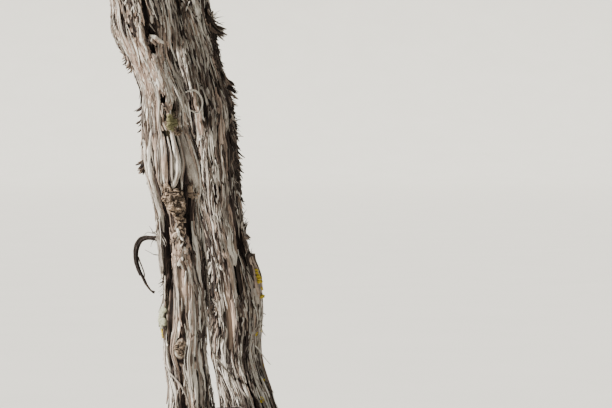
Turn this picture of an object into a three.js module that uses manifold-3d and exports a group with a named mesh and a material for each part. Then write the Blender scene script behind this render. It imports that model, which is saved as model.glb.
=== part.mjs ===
// A grapevine in winter. Two shaggy stems lean side by side out of one rootstock, each stem ends in a
// head with three arms, and each arm ends in a mass of bare canes.
// Millimetres, +Z up, ground at z = 0. The origin is the middle of the main stem's flat cut foot,
// +X is to the viewer's right and -Y is the side that faces the viewer.
import * as THREE from "three";
import { mergeVertices } from "three/addons/utils/BufferGeometryUtils.js";
import Module from "manifold-3d";

const wasm = await Module();
wasm.setup();

// Fineness of the faceted limbs
const STEM_SIDES = 26;
const STEM_RINGS = 38;
const ARM_SIDES = 12;
const ARM_RINGS = 10;
const TWIG_SIDES = 5;

// How neighbours meet: a limb stops this far short of the one that carries it
const SEAM = 0.34;
const SAME_PLACE = 1e-4;

// Turns are measured round a stem from +X towards +Y, so the viewer's side is FRONT
const FRONT = -Math.PI / 2;
const LEFT = Math.PI;
const RIGHT = 0;

// The two stems. foot, bend and top are the control points of the middle line, and each of the leans
// moves it aside in X and Y round one height. girth is the plain radius. Each swelling adds to it all
// round, and each knot stands out, or with a negative rise sinks in, at one height and one turn.
const MAIN_STEM = {
  foot: [0, 0, 0],
  bend: [-50.7, -4.2, 381],
  top: [-122.5, 2.7, 762],
  leans: [
    { along: 105, shift: [-7, 2], tall: 48 },
    { along: 300, shift: [-4, 6], tall: 60 },
    { along: 485, shift: [5, -6], tall: 70 },
  ],
  girth: 36,
  flare: { rise: 12, tall: 30 },
  swellings: [
    { along: 105, rise: -2, tall: 40 },
    { along: 480, rise: 3, tall: 60 },
    { along: 718, rise: 11, tall: 52 },
  ],
  lobes: [
    { count: 2, depth: 0.05, phase: 0.6, twist: 0.003 },
    { count: 3, depth: 0.045, phase: 2.1, twist: 0.004 },
    { count: 5, depth: 0.035, phase: 0.3, twist: 0.0025 },
  ],
  knots: [
    // the shoulder low on the right, and the ledge on the left of it
    { along: 208, turn: RIGHT - 0.1, rise: 7, tall: 38, wide: 0.55 },
    { along: 128, turn: LEFT - 0.1, rise: 3, tall: 60, wide: 0.6 },
    // the bare hollow in the front, and the split beside it
    { along: 172, turn: FRONT - 0.2, rise: -5, tall: 50, wide: 0.22 },
    { along: 226, turn: FRONT + 0.34, rise: -9, tall: 36, wide: 0.14 },
    // old pruning knuckles under the head
    { along: 606, turn: 1.9, rise: 11, tall: 20, wide: 0.4 },
    { along: 690, turn: FRONT + 0.5, rise: 9, tall: 18, wide: 0.35 },
  ],
};

const SECOND_STEM = {
  foot: [-85, -95, 0],
  bend: [-92.5, -102.5, 367.5],
  top: [-182.7, -99.7, 735],
  leans: [
    { along: 122, shift: [-6, -2], tall: 46 },
    { along: 300, shift: [0, 5], tall: 70 },
    { along: 500, shift: [5, -4], tall: 30 },
    { along: 582, shift: [-4, 0], tall: 32 },
  ],
  girth: 30.9,
  flare: { rise: 11, tall: 30 },
  swellings: [
    { along: 403, rise: 8, tall: 52 },
    { along: 600, rise: 8, tall: 40 },
    { along: 672, rise: 12, tall: 50 },
  ],
  lobes: [
    { count: 2, depth: 0.04, phase: 1.2, twist: -0.002 },
    { count: 3, depth: 0.05, phase: 0.4, twist: -0.003 },
    { count: 5, depth: 0.04, phase: 1.1, twist: -0.0015 },
  ],
  knots: [
    // the burl in the middle of the front, with a deep furrow on each side of it
    { along: 342, turn: FRONT - 0.05, rise: 11, tall: 27, wide: 0.42 },
    { along: 268, turn: FRONT - 0.78, rise: -13, tall: 62, wide: 0.24 },
    { along: 318, turn: FRONT + 0.66, rise: -9, tall: 32, wide: 0.22 },
    // the lump low on the left, and the eye of a lost branch beside it
    { along: 172, turn: LEFT + 0.1, rise: 8, tall: 20, wide: 0.5 },
    { along: 127, turn: FRONT - 0.42, rise: 5, tall: 16, wide: 0.32 },
    // the cleft that parts the foot into two legs
    { along: 8, turn: FRONT - 0.1, rise: -15, tall: 58, wide: 0.2 },
    // the shoulder under the head, and the scar in front of it
    { along: 594, turn: LEFT - 0.1, rise: 8, tall: 36, wide: 0.6 },
    { along: 594, turn: FRONT + 0.2, rise: -9, tall: 18, wide: 0.24 },
    { along: 520, turn: 1.2, rise: 9, tall: 18, wide: 0.4 },
  ],
};

// A stem's leans begin this far above its foot
const SETTLED = 30;

// The head closes over the last part of a stem, down to a small flat top
const HEAD_SHARE = 0.07;
const HEAD_CLOSING = 0.87;

// The saddle of old wood that joins the two feet at the ground
const SADDLE = { half_length: 104, half_width: 46, height: 33, sides: 22, rings: 12 };

// The arms: where each one leaves its stem, which way it points in plan, and where its canes are
// kept, as the middle of a wedge of the crown round CROWN_MIDDLE. Angles are in degrees.
const ARMS = [
  { name: "right", stem: MAIN_STEM, along: 710, way: -25, out: 186, up: 138, wedge: -8 },
  { name: "back_right", stem: MAIN_STEM, along: 692, way: 57, out: 178, up: 168, wedge: 57 },
  { name: "back_left", stem: MAIN_STEM, along: 716, way: 140, out: 172, up: 150, wedge: 123 },
  { name: "left", stem: SECOND_STEM, along: 681, way: 161, out: 190, up: 146, wedge: 177 },
  { name: "front_left", stem: SECOND_STEM, along: 695, way: 237, out: 168, up: 172, wedge: 238 },
  { name: "front_right", stem: SECOND_STEM, along: 673, way: 315, out: 182, up: 150, wedge: 299 },
];
const ARM_GIRTH = 25;
const ARM_TIP_GIRTH = 15;
const ARM_ROOT = { rise: 6, tall: 0.2 };
const ARM_KNUCKLES = [
  { at: 0.46, rise: 4, tall: 0.07 },
  { at: 0.9, rise: 6, tall: 0.1 },
];
const ARM_BEND = { out: 0.64, up: 0.24 };
const ARM_SWAY = 9;
const ARM_LOBES = [
  { count: 2, depth: 0.07, phase: 0.4, twist: 0.012 },
  { count: 3, depth: 0.06, phase: 1.7, twist: -0.01 },
];

// The crown's middle line, and each mass's share of the space round it
const CROWN_MIDDLE = [-140, -50];
const WEDGE_HALF_ANGLE = 25;
const CROWN_NEAR = 105;
const CROWN_FAR = 455;
const CROWN_LOW = 742;
const CROWN_HIGH = 1412;
const LIMB_CLEARANCE = 4;
const LIMB_SAMPLES = 30;
const TWIG_SAMPLES = 3;

// The canes of one mass: the older wood that carries them, the long canes, the shoots on a cane's
// joints and the short spurs. first is how far up the older wood the lowest one leaves it, lean and
// swing are in degrees from upright and from the middle of the wedge, and span is the length of
// one stretch between two joints.
const OLD_WOOD = { length: 74, girth: 11.5, tip_girth: 8.5, climb: 0.5 };
const CANES = {
  count: 5,
  tries: 9,
  first: 0.1,
  girth: 4.7,
  tip_girth: 1.9,
  lean: [8, 52],
  swing: 62,
  joints: [5, 9],
  span: [50, 72],
};
const SPURS = {
  count: 2,
  tries: 6,
  first: 0.3,
  girth: 5.6,
  tip_girth: 4.9,
  lean: [20, 75],
  swing: 80,
  joints: [1, 2],
  span: [34, 46],
};
const SHOOTS = {
  chance: 0.3,
  lowest: 2,
  girth: 2.6,
  tip_girth: 1.4,
  lean: 44,
  joints: [2, 4],
  span: [34, 48],
};
const ZIGZAG = 0.1;
const LIFT = 0.055;
const WANDER = 0.07;

const BARK = { color: 0x75685c, roughness: 0.95, metalness: 0 };
const CANE_BARK = { color: 0x8d5f41, roughness: 0.7, metalness: 0 };

const radians = THREE.MathUtils.degToRad;
const UP = new THREE.Vector3(0, 0, 1);
const vector = (values) => new THREE.Vector3(...values);
const bell = (distance, spread) => Math.exp(-((distance / spread) ** 2));

// The short way round from one turn to another
function turnBetween(a, b) {
  const full = 2 * Math.PI;
  return ((((a - b + Math.PI) % full) + full) % full) - Math.PI;
}

// A limb has middle(t), a frame(t) of across and aside, and reach(t, turn), where t runs from 0 at
// the foot to 1 at the tip.
function lobed(lobes, turn, along) {
  let share = 1;
  for (const lobe of lobes)
    share += lobe.depth * Math.cos(lobe.count * turn + lobe.phase + lobe.twist * along);
  return share;
}

function stemLimb(stem) {
  const line = new THREE.QuadraticBezierCurve3(
    vector(stem.foot),
    vector(stem.bend),
    vector(stem.top),
  );
  const height = stem.top[2];
  const middle = (t) => {
    const place = line.getPoint(t);
    const settled = 1 - bell(t * height, SETTLED);
    for (const lean of stem.leans) {
      const share = settled * bell(t * height - lean.along, lean.tall);
      place.add(new THREE.Vector3(lean.shift[0] * share, lean.shift[1] * share, 0));
    }
    return place;
  };
  const girthAt = (t) => {
    const along = t * height;
    let girth = stem.girth + stem.flare.rise * Math.exp(-along / stem.flare.tall);
    for (const swelling of stem.swellings)
      girth += swelling.rise * bell(along - swelling.along, swelling.tall);
    const closing = Math.max(0, (t - 1 + HEAD_SHARE) / HEAD_SHARE);
    return { girth, closed: Math.sqrt(1 - HEAD_CLOSING * closing ** 2) };
  };
  const reach = (t, turn) => {
    const along = t * height;
    const { girth, closed } = girthAt(t);
    let r = girth * lobed(stem.lobes, turn, along);
    for (const knot of stem.knots)
      r +=
        knot.rise *
        bell(along - knot.along, knot.tall) *
        bell(turnBetween(turn, knot.turn), knot.wide);
    return r * closed;
  };
  const frame = () => ({ across: new THREE.Vector3(1, 0, 0), aside: new THREE.Vector3(0, 1, 0) });
  return { middle, frame, reach, girth: (t) => girthAt(t).girth };
}

// An arm bends in the upright plane of its way out, with a little sway across that plane.
function armLimb(arm) {
  const foot = arm.stem.limb.middle(arm.along / arm.stem.top[2]);
  const way = new THREE.Vector3(Math.cos(radians(arm.way)), Math.sin(radians(arm.way)), 0);
  const aside = new THREE.Vector3(-way.y, way.x, 0);
  const from = (out, up) => foot.clone().addScaledVector(way, out).addScaledVector(UP, up);
  const line = new THREE.QuadraticBezierCurve3(
    foot,
    from(arm.out * ARM_BEND.out, arm.up * ARM_BEND.up),
    from(arm.out, arm.up),
  );
  const length = Math.hypot(arm.out, arm.up);
  const middle = (t) =>
    line.getPoint(t).addScaledVector(aside, ARM_SWAY * Math.sin(2 * Math.PI * t) * t);
  const frame = (t) => {
    const along = line.getTangent(t);
    return { across: new THREE.Vector3().crossVectors(aside, along), aside, along };
  };
  const girth = (t) => {
    let r = ARM_GIRTH + (ARM_TIP_GIRTH - ARM_GIRTH) * t + ARM_ROOT.rise * bell(t, ARM_ROOT.tall);
    for (const knuckle of ARM_KNUCKLES) r += knuckle.rise * bell(t - knuckle.at, knuckle.tall);
    return r;
  };
  const reach = (t, turn) => girth(t) * lobed(ARM_LOBES, turn, t * length);
  return { middle, frame, reach, girth };
}

// A closed tube: a cylinder whose vertices are moved to place(t, turn, share), where share is 0 in
// the middle of an end and 1 on the side. Turns run from across towards aside.
function tube(sides, rings, place) {
  const geometry = new THREE.CylinderGeometry(1, 1, 1, sides, rings);
  geometry.deleteAttribute("normal");
  geometry.deleteAttribute("uv");
  const at = geometry.getAttribute("position");
  for (let i = 0; i < at.count; i++) {
    const share = Math.hypot(at.getX(i), at.getZ(i)) > 0.5 ? 1 : 0;
    const turn = Math.atan2(-at.getZ(i), at.getX(i));
    const moved = place(at.getY(i) + 0.5, turn, share);
    at.setXYZ(i, moved.x, moved.y, moved.z);
  }
  return solidOf(geometry);
}

function solidOf(geometry) {
  const merged = mergeVertices(geometry, SAME_PLACE);
  return new wasm.Manifold(
    new wasm.Mesh({
      numProp: 3,
      vertProperties: merged.getAttribute("position").array,
      triVerts: new Uint32Array(merged.index.array),
    }),
  );
}

function limbSolid(limb, sides, rings, grown = 0) {
  return tube(sides, rings, (t, turn, share) => {
    const { across, aside } = limb.frame(t);
    const r = share * (limb.reach(t, turn) + grown);
    return limb
      .middle(t)
      .addScaledVector(across, r * Math.cos(turn))
      .addScaledVector(aside, r * Math.sin(turn));
  });
}

// The largest body of a cut solid, without the loose scraps
function largest(solid) {
  return solid.decompose().reduce((best, body) => (body.volume() > best.volume() ? body : best));
}

// The saddle: an ellipsoid that lies along the line between the two feet, cut flat at the ground
// and cut clear of both stems
function saddleSolid(grownStems) {
  const [ax, ay] = MAIN_STEM.foot;
  const [bx, by] = SECOND_STEM.foot;
  const ball = new THREE.SphereGeometry(1, SADDLE.sides, SADDLE.rings);
  ball.deleteAttribute("normal");
  ball.deleteAttribute("uv");
  ball.scale(SADDLE.half_length, SADDLE.half_width, SADDLE.height);
  ball.rotateZ(Math.atan2(by - ay, bx - ax));
  ball.translate((ax + bx) / 2, (ay + by) / 2, 0);
  const size = 4 * SADDLE.half_length;
  const above = new THREE.BoxGeometry(size, size, size).translate(0, 0, size / 2);
  above.deleteAttribute("normal");
  above.deleteAttribute("uv");
  let saddle = solidOf(ball).intersect(solidOf(above));
  for (const stem of grownStems) saddle = saddle.subtract(stem);
  return largest(saddle);
}

// The same numbers each time for one seed
function drawsFrom(seed) {
  let state = seed >>> 0;
  return (low, high) => {
    state = (Math.imul(state, 1664525) + 1013904223) >>> 0;
    return low + ((high - low) * state) / 2 ** 32;
  };
}

// A twig is its joints' places and the girth at each of them. It turns a little to one side and to
// the other from joint to joint, and it lifts.
function growTwig(draw, start, heading, kind) {
  const count = Math.floor(draw(kind.joints[0], kind.joints[1] + 1));
  const length = draw(...kind.span);
  const places = [start.clone()];
  const way = heading.clone();
  const side = new THREE.Vector3().crossVectors(heading, UP).normalize();
  for (let i = 1; i <= count; i++) {
    way.addScaledVector(side, (i % 2 ? 1 : -1) * ZIGZAG + draw(-WANDER, WANDER));
    way.addScaledVector(UP, LIFT + draw(-WANDER, WANDER)).normalize();
    places.push(places[i - 1].clone().addScaledVector(way, length));
  }
  const girths = places.map((_, i) => kind.girth + ((kind.tip_girth - kind.girth) * i) / count);
  return { places, girths };
}

function twigSolid(twig) {
  const rings = twig.places.length - 1;
  const way = (i) =>
    new THREE.Vector3()
      .subVectors(twig.places[Math.min(i + 1, rings)], twig.places[Math.max(i - 1, 0)])
      .normalize();
  const frames = [];
  let across = new THREE.Vector3(1, 0.3, 0.1);
  for (let i = 0; i <= rings; i++) {
    across = across.clone().addScaledVector(way(i), -across.dot(way(i))).normalize();
    frames.push({ across, aside: new THREE.Vector3().crossVectors(way(i), across) });
  }
  return tube(TWIG_SIDES, rings, (t, turn, share) => {
    const i = Math.round(t * rings);
    return twig.places[i]
      .clone()
      .addScaledVector(frames[i].across, share * twig.girths[i] * Math.cos(turn))
      .addScaledVector(frames[i].aside, share * twig.girths[i] * Math.sin(turn));
  });
}

// True if a round of this girth lies in the wedge of the crown that one mass may fill
function inWedge(place, girth, wedge) {
  const x = place.x - CROWN_MIDDLE[0];
  const y = place.y - CROWN_MIDDLE[1];
  const off = Math.abs(turnBetween(Math.atan2(y, x), radians(wedge)));
  const far = Math.hypot(x, y);
  return (
    far * (radians(WEDGE_HALF_ANGLE) - off) > girth &&
    far > CROWN_NEAR &&
    far < CROWN_FAR &&
    place.z > CROWN_LOW &&
    place.z < CROWN_HIGH
  );
}

function clearOfLimbs(place, girth, limbs) {
  for (const limb of limbs)
    for (let i = 0; i <= LIMB_SAMPLES; i++) {
      const t = i / LIMB_SAMPLES;
      const room = place.distanceTo(limb.middle(t)) - limb.girth(t) - girth;
      if (room < LIMB_CLEARANCE) return false;
    }
  return true;
}

// A twig fits if all of it past its root is in the mass's own wedge and clear of every limb.
function fits(twig, wedge, limbs) {
  for (let i = 1; i < twig.places.length; i++)
    for (let k = 1; k <= TWIG_SAMPLES; k++) {
      const place = twig.places[i - 1].clone().lerp(twig.places[i], k / TWIG_SAMPLES);
      if (!inWedge(place, twig.girths[i], wedge)) return false;
      if (!clearOfLimbs(place, twig.girths[i], limbs)) return false;
    }
  return true;
}

function headingOf(lean, turn) {
  return new THREE.Vector3(
    Math.sin(lean) * Math.cos(turn),
    Math.sin(lean) * Math.sin(turn),
    Math.cos(lean),
  );
}

// One mass of canes: a stub of older wood on the arm's tip, long canes and short spurs that leave it
// at even steps, and side shoots on the canes' joints. A shoot that doesn't fit is drawn again a few
// times and then left out.
function growMass(arm, seed, limbs) {
  const draw = drawsFrom(seed);
  const tip = arm.limb.middle(1);
  const { along } = arm.limb.frame(1);
  const climb = along.clone().addScaledVector(UP, OLD_WOOD.climb).normalize();
  const root = tip.clone().addScaledVector(along, SEAM);
  const third = OLD_WOOD.length / 3;
  const bendPlace = root.clone().addScaledVector(along, third);
  const endPlace = bendPlace.clone().addScaledVector(climb, 2 * third);
  const stub = {
    places: [root, bendPlace, endPlace],
    girths: [OLD_WOOD.girth, OLD_WOOD.girth, OLD_WOOD.tip_girth],
  };
  const twigs = [stub];
  const growSet = (kind) => {
    const grown = [];
    for (let n = 0; n < kind.count; n++) {
      const share = kind.first + ((1 - kind.first) * n) / (kind.count - 1);
      const start = bendPlace.clone().lerp(endPlace, share);
      for (let attempt = 0; attempt < kind.tries; attempt++) {
        const lean = radians(draw(...kind.lean));
        const turn = radians(arm.wedge + draw(-kind.swing, kind.swing));
        const twig = growTwig(draw, start, headingOf(lean, turn), kind);
        if (!fits(twig, arm.wedge, limbs)) continue;
        grown.push(twig);
        break;
      }
    }
    return grown;
  };
  const canes = growSet(CANES);
  twigs.push(...canes, ...growSet(SPURS));
  for (const cane of canes)
    for (let i = SHOOTS.lowest; i < cane.places.length - 1; i++) {
      if (draw(0, 1) > SHOOTS.chance) continue;
      const heading = cane.places[i].clone().sub(cane.places[i - 1]).normalize();
      const aside = headingOf(radians(90), draw(0, 2 * Math.PI));
      heading.addScaledVector(aside, Math.tan(radians(SHOOTS.lean))).normalize();
      const shoot = growTwig(draw, cane.places[i], heading, SHOOTS);
      if (fits(shoot, arm.wedge, limbs)) twigs.push(shoot);
    }
  return twigs;
}

function meshOf(name, solid, finish) {
  const made = solid.getMesh();
  const positions = new Float32Array(made.numVert * 3);
  for (let i = 0; i < made.numVert; i++)
    positions.set(made.vertProperties.subarray(i * made.numProp, i * made.numProp + 3), i * 3);
  const geometry = new THREE.BufferGeometry();
  geometry.setAttribute("position", new THREE.BufferAttribute(positions, 3));
  geometry.setIndex(new THREE.BufferAttribute(made.triVerts, 1));
  geometry.computeVertexNormals();
  const mesh = new THREE.Mesh(geometry, new THREE.MeshStandardMaterial(finish));
  mesh.name = name;
  return mesh;
}

const vine = new THREE.Group();
vine.name = "grapevine";

const stems = [MAIN_STEM, SECOND_STEM];
for (const stem of stems) stem.limb = stemLimb(stem);
const grownStems = stems.map((stem) => limbSolid(stem.limb, STEM_SIDES, STEM_RINGS, SEAM));

vine.add(meshOf("main_stem", limbSolid(MAIN_STEM.limb, STEM_SIDES, STEM_RINGS), BARK));
vine.add(meshOf("second_stem", limbSolid(SECOND_STEM.limb, STEM_SIDES, STEM_RINGS), BARK));
vine.add(meshOf("root_saddle", saddleSolid(grownStems), BARK));

const cutters = [...grownStems];
for (const arm of ARMS) {
  arm.limb = armLimb(arm);
  let solid = limbSolid(arm.limb, ARM_SIDES, ARM_RINGS);
  for (const cutter of cutters) solid = solid.subtract(cutter);
  vine.add(meshOf("arm_" + arm.name, largest(solid), BARK));
  cutters.push(limbSolid(arm.limb, ARM_SIDES, ARM_RINGS, SEAM));
}

const limbs = [...stems, ...ARMS].map((owner) => owner.limb);
ARMS.forEach((arm, index) => {
  const twigs = growMass(arm, index + 1, limbs);
  const solid = twigs.map(twigSolid).reduce((whole, twig) => whole.add(twig));
  vine.add(meshOf("canes_" + arm.name, largest(solid), CANE_BARK));
});

export default vine;
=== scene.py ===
"""A leafless grapevine with two shaggy stems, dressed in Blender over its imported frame.

The part's own limbs are worked out again here, in millimetres, from the same named sizes. Each limb
then gets a fine mesh with the relief of its bark, thousands of thin strips of loose bark that
follow it, and what grows on it. Every surface is a function of two parameters, worked out with
numpy.
"""

from __future__ import annotations

import logging
import math
from dataclasses import dataclass, field, replace
from enum import Enum
from functools import partial
from typing import Callable, Iterable, Iterator, Sequence

import bpy
import numpy as np
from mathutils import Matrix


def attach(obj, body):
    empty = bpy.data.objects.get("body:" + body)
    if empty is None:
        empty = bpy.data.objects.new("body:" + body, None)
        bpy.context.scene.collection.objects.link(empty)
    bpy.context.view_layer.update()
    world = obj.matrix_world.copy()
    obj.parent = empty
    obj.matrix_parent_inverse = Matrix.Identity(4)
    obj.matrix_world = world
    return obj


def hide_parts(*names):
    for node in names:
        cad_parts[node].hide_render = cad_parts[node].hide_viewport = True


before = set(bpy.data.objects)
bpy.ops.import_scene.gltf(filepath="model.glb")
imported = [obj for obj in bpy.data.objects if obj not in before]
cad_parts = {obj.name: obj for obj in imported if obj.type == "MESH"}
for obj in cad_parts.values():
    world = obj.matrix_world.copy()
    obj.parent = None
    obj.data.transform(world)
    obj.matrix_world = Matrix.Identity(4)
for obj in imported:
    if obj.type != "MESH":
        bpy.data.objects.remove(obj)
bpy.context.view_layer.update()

log = logging.getLogger("grapevine")

Material = bpy.types.Material
Random = np.random.Generator
Array = np.ndarray
Arrays = tuple[Array, Array]
Numbers = Array | float
Pair = tuple[float, float]
Triple = Colour = tuple[float, float, float]
Points = Sequence[Sequence[float]]

MM = 0.001
FULL = 2 * math.pi
FRONT, LEFT, RIGHT = -math.pi / 2, math.pi, 0.0
UP = np.array([0, 0, 1.0])
BODY = "root"
BAKE_MAP = "OFBake"
CAP, MARGIN = 0.06, 0.04  # shares of a tube's cell of the bake map
STEM_GIRTH = 36  # a middling radius of the stems, in millimetres


class Slot(Enum):
    """The record's material slots."""

    OLD_BARK = "old_bark"
    CANE_BARK = "cane_bark"
    CUT_WOOD = "cut_wood"
    LICHEN = "lichen"


# Plain mathematics


def bell(distance: Numbers, spread: float) -> Array:
    """A bell curve = e to the power of minus the square of distance over spread."""
    return np.exp(-np.square(np.asarray(distance) / spread))


def turn_between(a: Numbers, b: float) -> Array:
    """The short way round from turn b to turn a = ((a - b + pi) mod 2 pi) - pi."""
    return (np.asarray(a) - b + math.pi) % FULL - math.pi


def unit(vectors: Array) -> Array:
    """Each vector over its own length."""
    return vectors / np.maximum(np.linalg.norm(vectors, axis=-1, keepdims=True), 1e-9)


def held(x: Numbers) -> Array:
    """x held between 0 and 1."""
    return np.clip(x, 0, 1)


def smooth(x: Array) -> Array:
    """The smooth step 3 x squared - 2 x cubed, for x held between 0 and 1."""
    x = held(x)
    return x * x * (3 - 2 * x)


def bezier(t: Array, points: Points) -> Array:
    """Quadratic Bezier line = (1-t) squared P0 + 2 t (1-t) P1 + t squared P2."""
    t, (p0, p1, p2) = np.asarray(t, float)[..., None], np.asarray(points, float)
    return (1 - t) ** 2 * p0 + 2 * t * (1 - t) * p1 + t**2 * p2


def bezier_way(t: Array, points: Points) -> Array:
    """Direction of a quadratic Bezier line = unit of (1-t)(P1-P0) + t (P2-P1)."""
    t, (p0, p1, p2) = np.asarray(t, float)[..., None], np.asarray(points, float)
    return unit((1 - t) * (p1 - p0) + t * (p2 - p1))


def through(points: Array, count: int) -> Array:
    """A smooth line through points: Catmull-Rom pieces, with the end points doubled.

    Args:
        points: the points, one to a row.
        count: how many points the line has.

    Returns:
        The line's points, evenly spaced in its parameter.
    """
    padded = np.vstack([2 * points[0] - points[1], points, 2 * points[-1] - points[-2]])
    at = np.linspace(0, len(points) - 1, count)
    i = np.minimum(at.astype(int), len(points) - 2)
    f = (at - i)[:, None]
    a, b, c, d = (padded[i + k] for k in range(4))
    square, cube = 2 * a - 5 * b + 4 * c - d, 3 * b - a - 3 * c + d
    return 0.5 * (2 * b + (c - a) * f + square * f**2 + cube * f**3)


NOISE_ROWS = 256
GRAIN_ROUGHNESS = 0.62


def noise(turns: Array, along: Array, cells: int, pitch: float, seed: int) -> Array:
    """Smooth noise from -1 to 1 that closes round a limb.

    It is a table of random numbers, cells wide and one row for each pitch of length, blended
    between its four nearest numbers by smooth steps.

    Args:
        turns: place round the limb, where 1 is once round.
        along: place along the limb, in millimetres.
        cells: cells once round.
        pitch: length of a cell, in millimetres.
        seed: picks the table.

    Returns:
        The noise at each place.
    """
    table = np.random.default_rng(seed).uniform(-1, 1, (NOISE_ROWS, cells))
    u, v = turns * cells, along / pitch + NOISE_ROWS
    i, j = np.floor(u).astype(int), np.floor(v).astype(int)
    fu, fv = smooth(u - i), smooth(v - j)
    i0, i1, j0, j1 = i % cells, (i + 1) % cells, j % NOISE_ROWS, (j + 1) % NOISE_ROWS
    low = table[j0, i0] * (1 - fu) + table[j0, i1] * fu
    high = table[j1, i0] * (1 - fu) + table[j1, i1] * fu
    return low * (1 - fv) + high * fv


def speckled(draw: Random, base: Numbers, *parts: Sequence[float]) -> Array:
    """base + for each part its size times normal random numbers.

    Args:
        draw: random numbers.
        base: what they are added to.
        parts: each part's size, and then the shape of its numbers.

    Returns:
        The sum.
    """
    for size, *shape in parts:
        base = base + size * draw.normal(0, 1, shape)
    return base


def dealt(column: Array, row: Array, seed: int) -> Array:
    """A random number from 0 to 1 for each whole column and row, the same each time."""
    table = np.random.default_rng(seed).uniform(0, 1, (NOISE_ROWS, NOISE_ROWS))
    return table[row % NOISE_ROWS, column % NOISE_ROWS]


# Limbs


@dataclass(frozen=True)
class Lean:
    """Moves a middle line aside in X and Y round one height."""

    along: float
    shift: Pair
    tall: float


@dataclass(frozen=True)
class Swelling:
    """Adds to a limb's radius all round at one height."""

    along: float
    rise: float
    tall: float


@dataclass(frozen=True)
class Lobe:
    """A wave round a limb, which winds as it climbs."""

    count: int
    depth: float
    phase: float
    twist: float

    def wave(self, turn: Array, along: Array) -> Array:
        """depth cos(count turn + phase + twist along)."""
        return self.depth * np.cos(self.count * turn + self.phase + self.twist * along)


@dataclass(frozen=True)
class Knot:
    """A bump at one height and one turn, or with a negative rise a hollow."""

    along: float
    turn: float
    rise: float
    tall: float
    wide: float

    def bump(self, turn: Array, along: Array) -> Array:
        """rise times a bell along times a bell round."""
        share = bell(along - self.along, self.tall)
        return self.rise * share * bell(turn_between(turn, self.turn), self.wide)


class Limb:
    """A tapering limb: a middle line, a frame across it and a reach round it, in millimetres."""

    length: float
    lobes: Sequence[Lobe] = ()
    knots: Sequence[Knot] = ()
    tip_share: float = 0.1
    tip_closing: float = 0.8

    def middle(self, t: Array) -> Array:
        """The middle line at t, from 0 at the foot to 1 at the tip."""
        raise NotImplementedError

    def frame(self, t: Array) -> Arrays:
        """The two unit vectors that turns are measured between."""
        raise NotImplementedError

    def girth(self, t: Array) -> Array:
        """The plain radius at t."""
        raise NotImplementedError

    def reach(self, t: Array, turn: Array) -> Array:
        """(girth (1 + lobes) + knots) times the closing of the tip.

        The closing = the square root of 1 - tip closing times the square of how far t is into the
        tip's share.

        Args:
            t: shares of its length.
            turn: turns round it.

        Returns:
            The radii.
        """
        along = t * self.length
        radius = self.girth(t) * (1 + sum(lobe.wave(turn, along) for lobe in self.lobes))
        radius = radius + sum(knot.bump(turn, along) for knot in self.knots)
        closing = np.maximum(0, (t - 1 + self.tip_share) / self.tip_share)
        return radius * np.sqrt(np.maximum(0, 1 - self.tip_closing * closing**2))

    def skin(self, t: Array, turn: Array, lift: Numbers) -> Array:
        """A point on the skin = middle + (reach + lift)(across cos turn + aside sin turn)."""
        return self.middle(t) + (self.reach(t, turn) + lift)[..., None] * self.out(t, turn)

    def out(self, t: Array, turn: Array) -> Array:
        """The direction away from the middle line at t and turn."""
        across, aside = self.frame(t)
        return across * np.cos(turn)[..., None] + aside * np.sin(turn)[..., None]


@dataclass(frozen=True)
class Stem(Limb):
    """An upright stem with leans, a flared foot, swellings, lobes and knots."""

    foot: Triple
    bend: Triple
    top: Triple
    leans: tuple[Lean, ...]
    base_girth: float
    flare: Pair
    swellings: tuple[Swelling, ...]
    lobes: tuple[Lobe, ...]
    knots: tuple[Knot, ...]
    settled: float = 30
    tip_share: float = 0.07
    tip_closing: float = 0.87

    @property
    def length(self) -> float:
        """The stem's height."""
        return self.top[2]

    def middle(self, t: Array) -> Array:
        """Bezier line + each lean's shift times its bell, faded in above the foot.

        Args:
            t: shares of its length.

        Returns:
            The points.
        """
        t = np.asarray(t, float)
        line = bezier(t, (self.foot, self.bend, self.top))
        along = t * self.length
        for lean in self.leans:
            share = (1 - bell(along, self.settled)) * bell(along - lean.along, lean.tall)
            line[..., 0] += lean.shift[0] * share
            line[..., 1] += lean.shift[1] * share
        return line

    def frame(self, t: Array) -> Arrays:
        """+X and +Y all the way up."""
        ones = np.ones(np.shape(t))[..., None]
        return ones * np.array([1.0, 0, 0]), ones * np.array([0, 1.0, 0])

    def girth(self, t: Array) -> Array:
        """girth + flare rise e^(-along / flare height) + each swelling's bell.

        Args:
            t: shares of its length.

        Returns:
            The radii.
        """
        along = np.asarray(t, float) * self.length
        girth = self.base_girth + self.flare[0] * np.exp(-along / self.flare[1])
        for swelling in self.swellings:
            girth = girth + swelling.rise * bell(along - swelling.along, swelling.tall)
        return girth


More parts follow.
